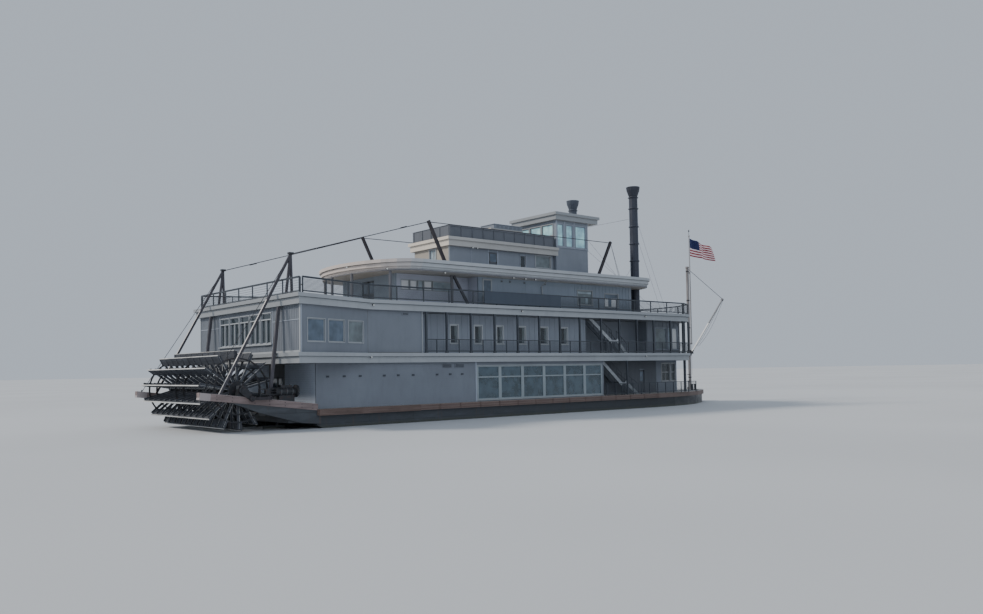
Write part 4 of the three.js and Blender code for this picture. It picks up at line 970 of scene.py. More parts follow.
def add_window(frames, panes, place, opening, casing, pane, index=0, depth=-0.15, bars=(0, 0), proud=0.045,
               sill=True):
    """A window in an opening: casing boards outside, a sash, glazing bars and a pane."""
    u0, u1, z0, z1 = opening
    gap, sash, half_bar = 0.003, 0.055, 0.03
    d0, d1 = depth + 0.04, depth + 0.1
    boards = [
        (u0 - casing, u1 + casing, 0.001, proud, z1, z1 + casing),
        (u0 - casing, u1 + casing, 0.001, proud, z0 - casing, z0),
        (u0 - casing, u0, 0.001, proud, z0, z1),
        (u1, u1 + casing, 0.001, proud, z0, z1),
        (u0 + gap, u1 - gap, d0, d1, z0 + gap, z0 + sash),
        (u0 + gap, u1 - gap, d0, d1, z1 - sash, z1 - gap),
        (u0 + gap, u0 + sash, d0, d1, z0 + sash, z1 - sash),
        (u1 - sash, u1 - gap, d0, d1, z0 + sash, z1 - sash),
    ]
    if sill:
        boards.append((u0 - casing - 0.04, u1 + casing + 0.04, 0.001, proud + 0.05, z0 - 0.05, z0))
    across, up = bars
    for i in range(1, across + 1):
        u = u0 + (u1 - u0) * i / (across + 1)
        boards.append((u - half_bar, u + half_bar, d0, d1, z0 + sash, z1 - sash))
    for i in range(1, up + 1):
        z = z0 + (z1 - z0) * i / (up + 1)
        boards.append((u0 + sash, u1 - sash, d0 + 0.005, d1 - 0.005, z - half_bar, z + half_bar))
    for board in boards:
        add_box(frames, *board, index, place)
    add_box(panes, u0 + gap, u1 - gap, d0 + 0.02, d0 + 0.035, z0 + gap, z1 - gap, pane, place)


class BOAT_OT_windows(bpy.types.Operator):
    """Adds frames, glazing bars and glass to every opening"""

    bl_idname = "boat.windows"
    bl_label = "Windows"

    def execute(self, context):
        casing = context.scene.boat_sizes.casing
        frames, panes = bmesh.new(), bmesh.new()
        clear, sky, dim, pale, bright, pilot, light = range(7)
        trim, white, gallery, sash = range(4)
        # the canopy's windows: panes in the white blind and light glass, painted reflections
        third_aft = [
            ((a, b, *THIRD_AFT[2:]), 0.035, pane, trim, -0.14, (0, 0), 0.045, False)
            for a, b, pane in ((11.12, 11.88, bright), (11.96, 12.62, bright), (12.7, 13.18, light),
                               (13.26, 14.04, bright), (14.12, 16.08, light))]
        # windows of each pair of side walls, as add_window takes them
        # panes in sky, pale, light and pilot glass and in the white blind stand for painted reflections
        walls = (
            (GALLERY_HALF, [(w, casing, dim, sash) for w in GALLERY_WINDOWS]),
            (GALLERY_HALF, [(w, 0.05, pane, gallery)
                            for w, pane in zip(FORE_WINDOWS, (pale, light, bright))]),
            (GALLERY_HALF, [(MAIN_FORE[1], 0.08, dim, white, -0.15, (1, 1)),
                            (MAIN_FORE[2], 0.08, dim, white, -0.15, (0, 1))]),
            (THIRD_AFT_HALF, third_aft),
            (THIRD_HALF, [(w, 0.06, pane) for w, pane in zip(THIRD_FORE, (pale, sky))]),
            (TEXAS[2], [(TEXAS_WINDOWS[0], 0.05, dim, gallery), (TEXAS_WINDOWS[1], 0.09, pale)]),
            (PILOT[2], [(w, 0.07, pilot, gallery, -0.14) for w in PILOT_WINDOWS]),
        )
        reflections = (
            (GALLERY_HALF, [(end - 0.3, end - 0.06, sill + 0.06, head - 0.06, pale)
                            for _, end, sill, head in GALLERY_WINDOWS]),
            (THIRD_HALF, [(32.52, 32.98, 9.37, 10.12, bright), (33.42, 34.18, 9.37, 10.12, bright),
                          (29.02, 30.72, 10.38, 10.56, light), (30.0, 30.3, 9.47, 10.0, light)]),
        )
        for side in SIDES:
            for half, windows in walls:
                for window in windows:
                    add_window(frames, panes, side_wall(half, side), *window)
            for half, rows in reflections:
                for u0, u1, z0, z1, pane in rows:
                    add_box(panes, u0, u1, *REFLECTION, z0, z1, pane, side_wall(half, side))
            for window, pane in zip(FLARE_WINDOWS, (sky, sky, pale)):
                add_window(frames, panes, flare_wall(side), window, 0.05, pane, trim, -0.14,
                           proud=0.03, sill=False)
            # glass, sill and head of the window wall
            place = side_wall(WALL_HALF, side)
            x0, x1, z0, z1 = GLAZED
            add_box(panes, x0 + 0.02, x1 - 0.02, -0.1, -0.085, z0 + 0.02, z1 - 0.02, clear, place)
            add_box(frames, x0 - 0.05, x1 + 0.05, 0.001, 0.07, z0 - 0.06, z0, white, place)
            add_box(frames, x0 - 0.05, x1 + 0.05, 0.001, 0.05, z1, z1 + 0.05, trim, place)
            # blind door on the third deck, a frame with a pane in its upper half
            place = side_wall(THIRD_HALF, side)
            for u0, u1, z0, z1 in ((18.12, 18.24, 8.96, 11.08), (18.98, 19.1, 8.96, 11.08),
                                   (18.24, 18.98, 10.96, 11.08), (18.24, 18.98, 8.96, 9.96)):
                add_box(frames, u0, u1, 0.001, 0.04, z0, z1, trim, place)
            add_box(panes, 18.24, 18.98, 0.001, 0.02, 9.96, 10.96, sky, place)
        # stern band of the second deck
        place = end_wall(SECOND_STERN[0], -1)
        y0, y1, sill, head = STERN_BAND
        pitch = (y1 - y0) / STERN_GROUPS
        transom = head - 0.42
        for i in range(STERN_GROUPS):
            u0, u1 = y0 + i * pitch + 0.12, y0 + (i + 1) * pitch - 0.12
            add_window(frames, panes, place, (u0, u1, sill, head), 0.05, dim, trim, -0.16,
                       proud=0.04, sill=False)
            add_box(frames, u0, u1, -0.13, 0.03, transom - 0.04, transom + 0.04, trim, place)
            middle = (u0 + u1) / 2
            add_box(frames, middle - 0.04, middle + 0.04, -0.13, 0.02, sill, transom, trim, place)
        add_box(frames, y0 - 0.1, y1 + 0.1, 0.001, 0.14, sill - 0.12, sill - 0.03, trim, place)
        # pilothouse front and back
        pitch = (2 * PILOT[2] - 0.6) / 3
        for x, out, low in ((PILOT[1], 1, 14.9), (PILOT[0], -1, 15.9)):
            for i in range(3):
                u = -PILOT[2] + 0.3 + i * pitch
                opening = (u + 0.1, u + pitch - 0.1, low, PILOT_HEAD)
                add_window(frames, panes, end_wall(x, out), opening, 0.07, pilot, white, -0.14, sill=False)
        # ends of the cabins
        for x, out, pane, windows in (
            (MAIN_BOW, 1, dim, ((1.7, 3.3, 2.3, 3.6), (-3.3, -1.7, 2.3, 3.6))),
            (SECOND_BOW, 1, dim, ((1.2, 2.8, 5.5, 7.6), (-2.8, -1.2, 5.5, 7.6))),
            (THIRD_BOW, 1, dim, ((1.8, 4.2, 9.4, 10.6), (-4.2, -1.8, 9.4, 10.6))),
            (TEXAS[0], -1, light, ((-0.67, 0.2, 13.0, 13.85),)),
        ):
            for window in windows:
                add_window(frames, panes, end_wall(x, out), window, 0.09, pane, white, -0.15, (1, 0))
        make_piece(frames, "window_frames", "trim white gallery sash")
        make_piece(panes, "window_glass", PANES)
        return {"FINISHED"}


# Doors


def panel_door(bm, place, u0, u1, z0, z1):
    """A door leaf with raised rails, a glazed upper light and a knob."""
    back, face, rail = -0.12, -0.07, 0.12
    middle = z0 + (z1 - z0) * 0.48
    add_box(bm, u0, u1, back, face, z0, z1, 0, place)
    for a, b, c, d in ((u0, u1, z0, z0 + rail), (u0, u1, z1 - rail, z1),
                       (u0, u1, middle - rail / 2, middle + rail / 2), (u0, u0 + rail, z0, z1),
                       (u1 - rail, u1, z0, z1)):
        add_box(bm, a, b, face, face + 0.025, c, d, 0, place)
    add_box(bm, u0 + rail, u1 - rail, face, face + 0.005, middle + rail / 2, z1 - rail, 1, place)
    knob = [place @ Vector((u1 - 0.08, y, middle)) for y in (face + 0.02, face + 0.08)]
    add_rod(bm, *knob, 0.03, 10, 2)


class BOAT_OT_doors(bpy.types.Operator):
    """Adds the doors that stay shut and the leaves of the texas doors"""

    bl_idname = "boat.doors"
    bl_label = "Doors"

    def execute(self, context):
        fixed = bmesh.new()
        for side in SIDES:
            panel_door(fixed, side_wall(GALLERY_HALF, side), 38.21, 38.89, 1.36, 3.49)
        for x, out, half, z0, z1 in ((MAIN_BOW, 1, 0.89, 1.36, 3.49), (SECOND_BOW, 1, 0.79, 5.15, 7.49),
                                     (THIRD_BOW, 1, 0.89, 8.95, 10.89), (THIRD_STERN, -1, 0.89, 8.95, 10.89),
                                     (MAIN_STERN, -1, 0.99, 1.36, 3.49), (PILOT[1], 1, 0.44, 12.17, 13.93)):
            for u0, u1 in ((-half, -0.005), (0.005, half)):
                panel_door(fixed, end_wall(x, out), u0, u1, z0, z1)
        finishes = "deep sky_glass bright"
        make_piece(fixed, "shut_doors", finishes, bevel=0.008)
        u0, u1 = TEXAS_DOOR[0] + 0.02, TEXAS_DOOR[1] - 0.0006
        z0, z1 = TEXAS_DOOR[2] + 0.02, TEXAS_DOOR[3] - 0.02
        for side in SIDES:
            leaf = bmesh.new()
            place = side_wall(TEXAS[2], side)
            add_box(leaf, u0, u1, -0.06, -0.012, z0, z1, 0, place)
            for a, b, c, d in ((u0, u1, z0, 12.3), (u0, u1, 13.61, z1), (u0, u1, 12.85, 12.97),
                               (u0, 21.24, 12.3, 13.61), (21.88, u1, 12.3, 13.61)):
                add_box(leaf, a, b, -0.012, 0.0, c, d, 0, place)
            add_box(leaf, 21.24, 21.88, -0.012, -0.006, 12.97, 13.61, 1, place)
            knob = [place @ Vector((u0 + 0.06, y, 12.91)) for y in (-0.01, 0.05)]
            add_rod(leaf, *knob, 0.025, 10, 2)
            door = f"texas_door_{SIDE_NAMES[side]}"
            make_piece(leaf, f"texas_leaf_{SIDE_NAMES[side]}", finishes, door, door, 0.004)
        return {"FINISHED"}


# Railings

GALLERY_POSTS = [11.9, 13.8, 16.15, 18.55, 21, 23.4, 25.8, 28.2, 30.9, 33.3, 35.7, 38.1, 40.6, 42.5]
LOW_RAIL = (31.35, 44.2, 6.15)


def bow_arc(start, half, tip, steps):
    points = []
    for i in range(steps + 1):
        t = i / steps * math.pi / 2
        points.append((start + (tip - start) * math.sin(t), half * math.cos(t)))
    return points


def mirrored(half):
    """An outline whose starboard side mirrors the given port side."""
    return half + [(x, -y) for x, y in reversed(half) if y > 0.001]


def rail_wires(bm, line, deck, pitch, half=0.012):
    """Level wires one above another along a line of [x, y] points."""
    for a, b in zip(line, line[1:]):
        for i in range(int(0.78 / pitch) + 1):
            z = deck + 0.2 + i * pitch
            add_beam(bm, (*a, z), (*b, z), 2 * half, 2 * half)


def hand_rail(bm, line, deck, width=0.11, height=0.045):
    z = deck + RAIL_HEIGHT + height / 2 + 0.001
    for a, b in zip(line, line[1:]):
        add_beam(bm, (*a, z), (*b, z), width, height)


class BOAT_OT_railings(bpy.types.Operator):
    """Adds wires, stanchions and hand rails to the railings of the decks"""

    bl_idname = "boat.railings"
    bl_label = "Railings"

    def execute(self, context):
        pitch = context.scene.boat_sizes.wire_pitch
        bow = mirrored(bow_arc(42.65, RAIL_HALF, 46.2, 3))
        gallery, upper, low = bmesh.new(), bmesh.new(), bmesh.new()
        for side in SIDES:
            y = side * RAIL_HALF
            rail_wires(gallery, [(GALLERY_POSTS[0], y), (GALLERY_POSTS[-1], y)], SECOND_TOP, pitch)
            line = [(0.55, side * 8.4), (FLARE_END, y), (42.5, y)]
            rail_wires(upper, line, THIRD_TOP, pitch)
            hand_rail(upper, line, THIRD_TOP)
            add_stick(upper, 0.43, side * 8.33, 0.03, THIRD_TOP + 0.01, THIRD_TOP + 1.04)
            for a, b in zip(GALLERY_POSTS[:-2], GALLERY_POSTS[1:]):
                add_stick(gallery, (a + b) / 2, y, 0.03, SECOND_TOP + 0.01, SECOND_TOP + 1.0)
            for x in GALLERY_POSTS:
                add_stick(gallery, x, y, 0.1, SECOND_TOP + 0.01, SECOND_TOP + 0.1)
            # main deck railing abreast of the fore cabin, with one tall post
            x0, x1, y = *LOW_RAIL[:2], side * LOW_RAIL[2]
            rail_wires(low, [(x0, y), (x1, y)], MAIN_TOP, pitch)
            for height, size in ((1.02, 0.06), (0.14, 0.05)):
                z = MAIN_TOP + height
                add_beam(low, (x0 - 0.05, y, z), (x1 + 0.05, y, z), size, size)
            for i in range(12):
                add_stick(low, x0 + i * (x1 - x0) / 11, y, 0.03, MAIN_TOP + 0.01, MAIN_TOP + 1.0)
            add_stick(low, 34.1, y, 0.06, MAIN_TOP + 0.01, SECOND_BOTTOM - 0.01)
        rail_wires(gallery, bow, SECOND_TOP, pitch)
        stern = [(0.42, -8.2), (0.42, 8.2)]
        rail_wires(upper, bow, THIRD_TOP, pitch)
        rail_wires(upper, stern, THIRD_TOP, 2 * pitch, 0.008)
        for line in (bow, stern):
            hand_rail(upper, line, THIRD_TOP)
        make_piece(gallery, "gallery_wires", "dark")
        make_piece(upper, "third_deck_wires", "dark")
        make_piece(low, "main_deck_railing", "dark")
        return {"FINISHED"}


# Paddle wheel

WHEEL = {"x": -2.5, "z": 2.7, "radius": 2.6, "half": 5.4, "float_depth": 0.62, "phase": 0.57}
CRANK = {"throw": 0.75, "inner": 6.21, "outer": 6.35, "pin": 0.08, "pin_end": 6.55, "angle": math.pi / 4}


def wheel_turn(angle, y=0.0):
    """A frame on the wheel's shaft at y, with X out along a spoke."""
    return Matrix.Translation((WHEEL["x"], y, WHEEL["z"])) @ Matrix.Rotation(-angle, 4, "Y")


class BOAT_OT_wheel(bpy.types.Operator):
    """Builds the paddle wheel: shaft, hubs, arms, iron circles, floats and cranks"""

    bl_idname = "boat.wheel"
    bl_label = "Paddle wheel"

    def execute(self, context):
        sizes = context.scene.boat_sizes
        x, z, radius, half = WHEEL["x"], WHEEL["z"], WHEEL["radius"], WHEEL["half"]
        inner = radius - WHEEL["float_depth"]
        middle = inner + WHEEL["float_depth"] / 2
        # edge is the pale paint of strips along the arms and the floats' outer edges, painted highlights
        # where sunlight catches them
        wood, board, edge, iron = range(4)
        bm = bmesh.new()
        for end, r, sides in ((CRANK["inner"] + 0.05, 0.2, 24), (half, 0.26, 12)):
            add_rod(bm, (x, -end, z), (x, end, z), r, sides, iron)
        count = sizes.wheel_floats
        spokes = [(i + WHEEL["phase"]) * 2 * math.pi / count for i in range(count)]
        span = (2 * half - 0.24) / (sizes.wheel_frames - 1)
        frames = [-half + 0.12 + k * span for k in range(sizes.wheel_frames)]
        hub = [(0.0, -0.09), (0.56, -0.09), (0.6, -0.05), (0.6, 0.05), (0.56, 0.09), (0.0, 0.09)]
        for y in frames:
            add_turned(bm, hub, (x, y, z), (0, 1, 0), 28, iron)
            for angle in spokes:
                turn = wheel_turn(angle, y)
                arm = add_box(bm, 0.3, radius - 0.1, -0.05, 0.05, -0.09, 0.09, wood)
                bmesh.ops.scale(bm, vec=(1, 1, 0.72), verts=[v for v in arm if v.co.x > 1])
                bmesh.ops.transform(bm, matrix=turn, verts=arm)
                # pale strip along the arm's edge, a painted highlight
                add_box(bm, 0.7, radius - 0.12, -0.055, -0.012, 0.066, 0.08, edge, turn)
                for r in (1.98, 2.5):
                    add_rod(bm, turn @ Vector((r, -0.075, 0)), turn @ Vector((r, 0.075, 0)), 0.035, 6, iron)
        for y in frames[::5]:
            for r0, r1 in ((1.5, 1.58), (2.02, 2.1)):
                for shift in (0.0, 0.12):
                    add_ring(bm, r0, r1, -0.07, -0.05, (x, y + shift, z), (0, 1, 0), 42, iron)
        for angle in spokes:
            turn = wheel_turn(angle)
            for r0, r1 in ((inner, middle - 0.006), (middle + 0.006, radius - 0.03)):
                add_box(bm, r0, r1, -half, half, 0.1, 0.16, board, turn)
            # pale strip on the float's outer edge, a painted highlight
            add_box(bm, radius - 0.03, radius, -half, half, 0.095, 0.165, edge, turn)
            for y in (-half - 0.012, half):
                add_box(bm, inner, radius, y, y + 0.012, 0.1, 0.16, wood, turn)
            for y in frames:
                add_box(bm, inner + 0.06, radius - 0.08, y - 0.1, y + 0.1, 0.16, 0.185, wood, turn)
        throw, outer = CRANK["throw"], CRANK["outer"]
        outline = mirrored([(-0.26, 0.2), (-0.16, 0.26), (0.16, 0.24), (throw - 0.1, 0.15),
                            (throw + 0.1, 0.15), (throw + 0.18, 0.08)])
        for side in SIDES:
            turn = wheel_turn(CRANK["angle"] * side)
            flat = turn @ Matrix.Rotation(math.pi / 2, 4, "X")
            add_prism(bm, outline, -side * outer, -side * CRANK["inner"], iron, flat)
            for r, start, end, thick in ((throw, outer - 0.02, CRANK["pin_end"], CRANK["pin"]),
                                         (0, outer, outer + 0.05, 0.17)):
                a, b = (turn @ Vector((r, side * y, 0)) for y in (start, end))
                add_rod(bm, a, b, thick, 20, iron)
        make_piece(bm, "paddle_wheel_built", "wheel float pale iron", "paddle_wheel",
                   "paddle_wheel")
        return {"FINISHED"}


# Engines, pitmans and stern timbers

TIMBER = {"inner": 5.7, "outer": 6.15, "stern": -5.3, "top": 2.63, "depth": 0.43, "slope": 0.121}
ENGINE = {"aft": -0.27, "fore": 1.31, "y": 6.02, "z": 2.57, "r": 0.27}
BEARING_Y = 5.925


def timber_top(x):
    return TIMBER["top"] - TIMBER["slope"] * (x - TIMBER["stern"])


def add_stub(bm, foot, reach, radius, sides=6, index=0):
    """A short rod, such as a bolt, from its foot by the given reach."""
    add_rod(bm, foot, Vector(foot) + Vector(reach), radius, sides, index)


class BOAT_OT_stern_gear(bpy.types.Operator):
    """Adds bolts, lagging bands and valve chests to the engines and stern timbers, and the pitmans' straps"""

    bl_idname = "boat.stern_gear"
    bl_label = "Stern gear"

    def execute(self, context):
        bm = bmesh.new()
        iron, bright, pale = range(3)
        z, radius = ENGINE["z"], ENGINE["r"]
        for side in SIDES:
            y = side * ENGINE["y"]
            for x, r, count, out in ((ENGINE["fore"], 0.35, 12, 1), (ENGINE["aft"], 0.23, 8, -1)):
                for i in range(count):
                    a = 2 * math.pi * i / count
                    foot = (x - out * 0.02, y + r * math.cos(a), z + r * math.sin(a))
                    add_stub(bm, foot, (out * 0.065, 0, 0), 0.028, 6, bright)
            for x in (0.1, 0.5, 0.9):
                add_ring(bm, radius, radius + 0.02, -0.03, 0.03, (x, y, z), (1, 0, 0), 28, bright)
            # valve chest on top
            add_box(bm, 0.1, 0.9, y - 0.13, y + 0.13, z + 0.22, z + 0.4, iron)
            for x in (0.2, 0.8):
                add_stub(bm, (x, y, z + 0.38), (0, 0, 0.07), 0.05, 8, bright)
            # bolts along the timber, a pale strip along its top edge and a painted end
            for x in (-4.2, -3.2, -1.7, -0.7, 0.4, 1.6, 2.4):
                for drop in (0.1, 0.32):
                    foot = (x, side * TIMBER["outer"], timber_top(x) - drop)
                    add_stub(bm, foot, (0, side * 0.035, 0), 0.025, 6, iron)
            y = side * (TIMBER["outer"] - 0.03)
            a, b = ((x, y, timber_top(x) + 0.006) for x in (-4.5, 2.7))
            add_beam(bm, a, b, 0.05, 0.03, pale)
            y, drop = side * (TIMBER["inner"] + TIMBER["outer"]) / 2, TIMBER["depth"] / 2
            add_beam(bm, (TIMBER["stern"] + 0.01, y, timber_top(TIMBER["stern"]) - drop),
                     (-4.6, y, timber_top(-4.6) - drop), 0.47, TIMBER["depth"] + 0.02, pale)
            # bearing cap bolts and a grease cup
            x, y = WHEEL["x"], side * BEARING_Y
            for dx in (-0.26, 0.26):
                for dy in (-0.1, 0.1):
                    add_rod(bm, (x + dx, y + dy, 2.822), (x + dx, y + dy, 3.0), 0.03, 6, bright)
            add_rod(bm, (x, y, 3.0), (x, y, 3.14), 0.045, 10, bright)
        make_piece(bm, "stern_gear_details", "iron bright end")
        for side in SIDES:
            bm = bmesh.new()
            pin = wheel_turn(CRANK["angle"] * side) @ Vector((CRANK["throw"], 0, 0))
            for face in (6.42, 6.5):
                for dz in (-0.1, 0.09):
                    add_box(bm, pin.x + 0.16, pin.x + 1.05, side * face, side * (face + 0.012),
                            pin.z + dz - 0.005, pin.z + dz + 0.015)
            for x in (0.25, 0.55, 0.9):
                add_rod(bm, (pin.x + x, side * 6.41, pin.z), (pin.x + x, side * 6.525, pin.z), 0.03, 6)
            name = SIDE_NAMES[side]
            make_piece(bm, f"pitman_straps_{name}", "iron", f"pitman_{name}")
        return {"FINISHED"}


# Hull and main deck


class BOAT_OT_hull(bpy.types.Operator):
    """Adds rubbing strakes, fender posts, scuppers and wall vents"""

    bl_idname = "boat.hull"
    bl_label = "Hull details"

    def execute(self, context):
        bm = bmesh.new()
        guard, dark, wall = range(3)
        strakes = [(2.78, 38.5, 0.055, z - 0.025, z + 0.025) for z in (1.0, 1.18)]
        strakes += [(3.15 + i * 1.95, 3.25 + i * 1.95, 0.07, 0.9, 1.29) for i in range(19)]
        strakes.append((2.82, 11.14, 0.12, 0.86, 1.28))
        for side in SIDES:
            for x0, x1, proud, z0, z1 in strakes:
                add_box(bm, x0, x1, side * GUARD_HALF, side * (GUARD_HALF + proud), z0, z1, guard)
            y0, y1 = sorted((side * (WALL_HALF + 0.002), side * (WALL_HALF + 0.05)))
            for x in (3.7, 5.0, 6.28, 8.27, 9.47, 10.78, 12.96, 14.19, 15.35):
                add_box(bm, x - 0.11, x + 0.11, y0, y1, 3.41, 3.54, dark)
            # louvred vents under the second deck, and one under the third
            for x in (13.9, 15.1):
                add_box(bm, x - 0.45, x + 0.45, y0, y1, 3.98, 4.24, wall)
                for k in range(5):
                    z = 4.0 + k * 0.048
                    face = side * (WALL_HALF + 0.05)
                    add_box(bm, x - 0.4, x + 0.4, face, face + side * 0.012, z, z + 0.03, dark)
            add_box(bm, 9.86, 10.45, y0, y1, 7.86, 8.04, wall)
            add_box(bm, 9.92, 10.39, y0 - 0.004, y1 + 0.004, 7.9, 8.0, dark)
        make_piece(bm, "hull_strakes_and_vents", "guard dark wall")
        return {"FINISHED"}


# Stairs

# Each flight as its strings' distances off the centreline, its top and its foot as x and z
STAIR_FLIGHTS = (
    ((4.45, 5.35), 31.45, SECOND_BOTTOM, 34.25, 2.35), ((4.45, 5.35), 34.7, 2.35, 36.55, MAIN_TOP),
    ((3.5, 4.4), 31.15, THIRD_BOTTOM, 34.05, 6.26), ((3.5, 4.4), 34.7, 6.26, 36.1, SECOND_TOP),
)


class BOAT_OT_stairs(bpy.types.Operator):
    """Adds thin handrails and balusters to the stairs"""

    bl_idname = "boat.stairs"
    bl_label = "Stairs"

    def execute(self, context):
        bm = bmesh.new()
        lift = 0.95
        for side in SIDES:
            for strings, x0, z0, x1, z1 in STAIR_FLIGHTS:
                ceiling = (SECOND_BOTTOM if z0 <= SECOND_BOTTOM else THIRD_BOTTOM) - 0.03
                slope = (z1 - z0) / (x1 - x0)
                start = x0 + (ceiling - lift - z0) / slope if z0 + lift > ceiling else x0
                top = lift - 0.03
                count = max(2, round((x1 - start) / 0.8))
                for y in (side * strings[0], side * strings[1]):
                    add_beam(bm, (start, y, z0 + slope * (start - x0) + top), (x1, y, z1 + top), 0.035, 0.04)
                    for i in range(count + 1):
                        x = start + (x1 - start) * i / count
                        z = z0 + slope * (x - x0)
                        add_stick(bm, x, y, 0.014, z + 0.05, z + top)
        make_piece(bm, "stair_rails", "dark")
        return {"FINISHED"}


# Roofs, screen and chimneys

SCREEN = {"aft": 16.8, "fore": 28.6, "half": 2.6, "low": TEXAS_ROOF_TOP + 0.01, "high": 15.65}
# Lamps as x, y off the centreline and z
LAMPS = (
    (5.3, 5.7, 11.1), (8.2, 6.42, 11.12), (13.4, 6.36, 11.14), (20.3, 6.36, 11.14), (21.6, 6.36, 11.14),
    (22.7, 6.36, 11.14), (7.2, 6.16, 8.5), (21.4, 6.12, 8.5), (36.8, 6.12, 8.5), (7.0, 6.16, 4.8),
    (36.8, 6.12, 4.8), (18.9, 2.9, 13.9), (19.4, 2.9, 13.9),
)
RAIN_PIPE = ((24.3, 6.3, 11.22), (24.45, 5.3, 10.75), (24.6, 5.2, 10.5), (24.6, 5.2, THIRD_TOP + 0.02))
# Roof vents as x, y, radius and height
VENTS = ((14.0, 2.0, 0.16, 0.55), (33.9, -1.2, 0.14, 0.5), (15.1, -2.6, 0.12, 0.4), (36.0, 2.0, 0.14, 0.5))
AIR_UNIT = (22.98, 26.3, 0.89, 16.201, 16.55)


def deck_plan(grow):
    """The upper decks' outline, let out or taken in by grow."""
    return mirrored([(-grow, 8.87 + grow * 1.2), (FLARE_END, DECK_HALF + grow),
                     *bow_arc(42.5, DECK_HALF + grow, 46.4 + grow, 6)])


def roof_plan(grow):
    """The hurricane roof's outline with its round stern and bow."""
    aft, half, reach, steps = 11.3, 6.62 + grow, 3.5 + grow, 6
    angles = [i / steps * math.pi / 2 for i in range(steps)]
    stern = [(aft - reach * math.cos(t), half * math.sin(t)) for t in angles]
    return mirrored([*stern, (aft, half), *bow_arc(36.6, half, 39.2 + grow, steps)])


class BOAT_OT_roofs(bpy.types.Operator):
    """Adds the screen's posts and rails, dark strips of painted shade in the edge grooves, lamps, rain pipes,
    roof vents and an air cowl
    """

    bl_idname = "boat.roofs"
    bl_label = "Roofs"

    def execute(self, context):
        bm = bmesh.new()
        aft, fore, low, high = SCREEN["aft"], SCREEN["fore"], SCREEN["low"], SCREEN["high"]
        count = 10
        for side in SIDES:
            y0, y1 = sorted((side * 2.601, side * 2.65))
            for i in range(count + 1):
                x = 16.83 + (28.57 - 16.83) * i / count
                add_box(bm, x - 0.035, x + 0.035, y0, y1, low, high)
            for z in (low, high - 0.08):
                add_box(bm, aft, fore, y0, y1 - 0.01, z, z + 0.08)
            add_box(bm, aft - 0.04, fore + 0.04, side * 2.5, side * 2.65, high, high + 0.04)
        for x, out in ((aft, -1), (fore, 1)):
            for i in range(5):
                y = -2.5 + i * 1.25
                add_box(bm, x, x + out * 0.045, y - 0.035, y + 0.035, low, high)
            add_box(bm, x + out * 0.04, x - out * 0.1, -2.5, 2.5, high, high + 0.04)
        make_piece(bm, "screen_posts", "screen")

        # dark strips under each deck's lip and the roof's lips, painted shade in the grooves
        bm = bmesh.new()
        for plan, top, lips in (
            (deck_plan, SECOND_TOP, 1), (deck_plan, THIRD_TOP, 1), (roof_plan, HURRICANE_TOP, 2),
        ):
            for i in range(lips):
                line = plan(-0.14 * (i + 1))
                z = top - 0.266 - i * 0.445
                for a, b in zip(line, line[1:] + line[:1]):
                    add_beam(bm, (*a, z), (*b, z), 0.024, 0.03)
        make_piece(bm, "edge_groove_shade_strips", "groove")

        bm = bmesh.new()
        globe, iron, pipe = range(3)
        for side in SIDES:
            for x, y, z in LAMPS:
                add_rod(bm, (x, side * y, z), (x, side * (y + 0.07), z), 0.07, 12, iron)
                made = bmesh.ops.create_uvsphere(bm, u_segments=12, v_segments=8, radius=0.06,
                                                 matrix=Matrix.Translation((x, side * (y + 0.09), z - 0.02)))
                paint_faces(made["verts"], globe)
            bends = [(x, side * y, z) for x, y, z in RAIN_PIPE]
            for a, b in zip(bends, bends[1:]):
                add_rod(bm, a, b, 0.05, 10, pipe)
        make_piece(bm, "lamps_and_rain_pipes", "lamp iron trim", smooth=True)

        bm = bmesh.new()
        for x, y, r, h in VENTS:
            add_turned(bm, [(0, 0.001), (r * 1.5, 0.001), (r, 0.06), (r, h * 0.7), (r * 1.6, h * 0.75),
                            (r * 1.6, h * 0.85), (0, h)], (x, y, HURRICANE_TOP), UP, 18)
        for x in (29.4, 31.9):
            add_turned(bm, [(0, 0.001), (0.12, 0.001), (0.1, 0.07), (0.05, 0.12), (0, 0.13)],
                       (x, 1.2, PILOT_ROOF_TOP), UP, 16)
        make_piece(bm, "roof_vents", "trim", smooth=True)

        # cowl of the air unit on the texas roof, with louvres on its sides
        bm = bmesh.new()
        x0, x1, half, z0, z1 = AIR_UNIT
        add_box(bm, x0, x1, -half, half, z0, z1)
        add_box(bm, x0 - 0.05, x1 + 0.05, -half - 0.05, half + 0.05, z1, z1 + 0.05)
        for i in range(6):
            x = x0 + 0.3 + i * 0.5
            for side in SIDES:
                add_box(bm, x, x + 0.3, side * half, side * (half + 0.02), z0 + 0.08, z1 - 0.08, 1)
        make_piece(bm, "air_unit_cowl", "pilot wall")
        return {"FINISHED"}


CHIMNEY = (37.9, 4.07, 0.41)
BAND_HEIGHTS = (20.08, 19.01, 17.26, 15.61, 13.96)


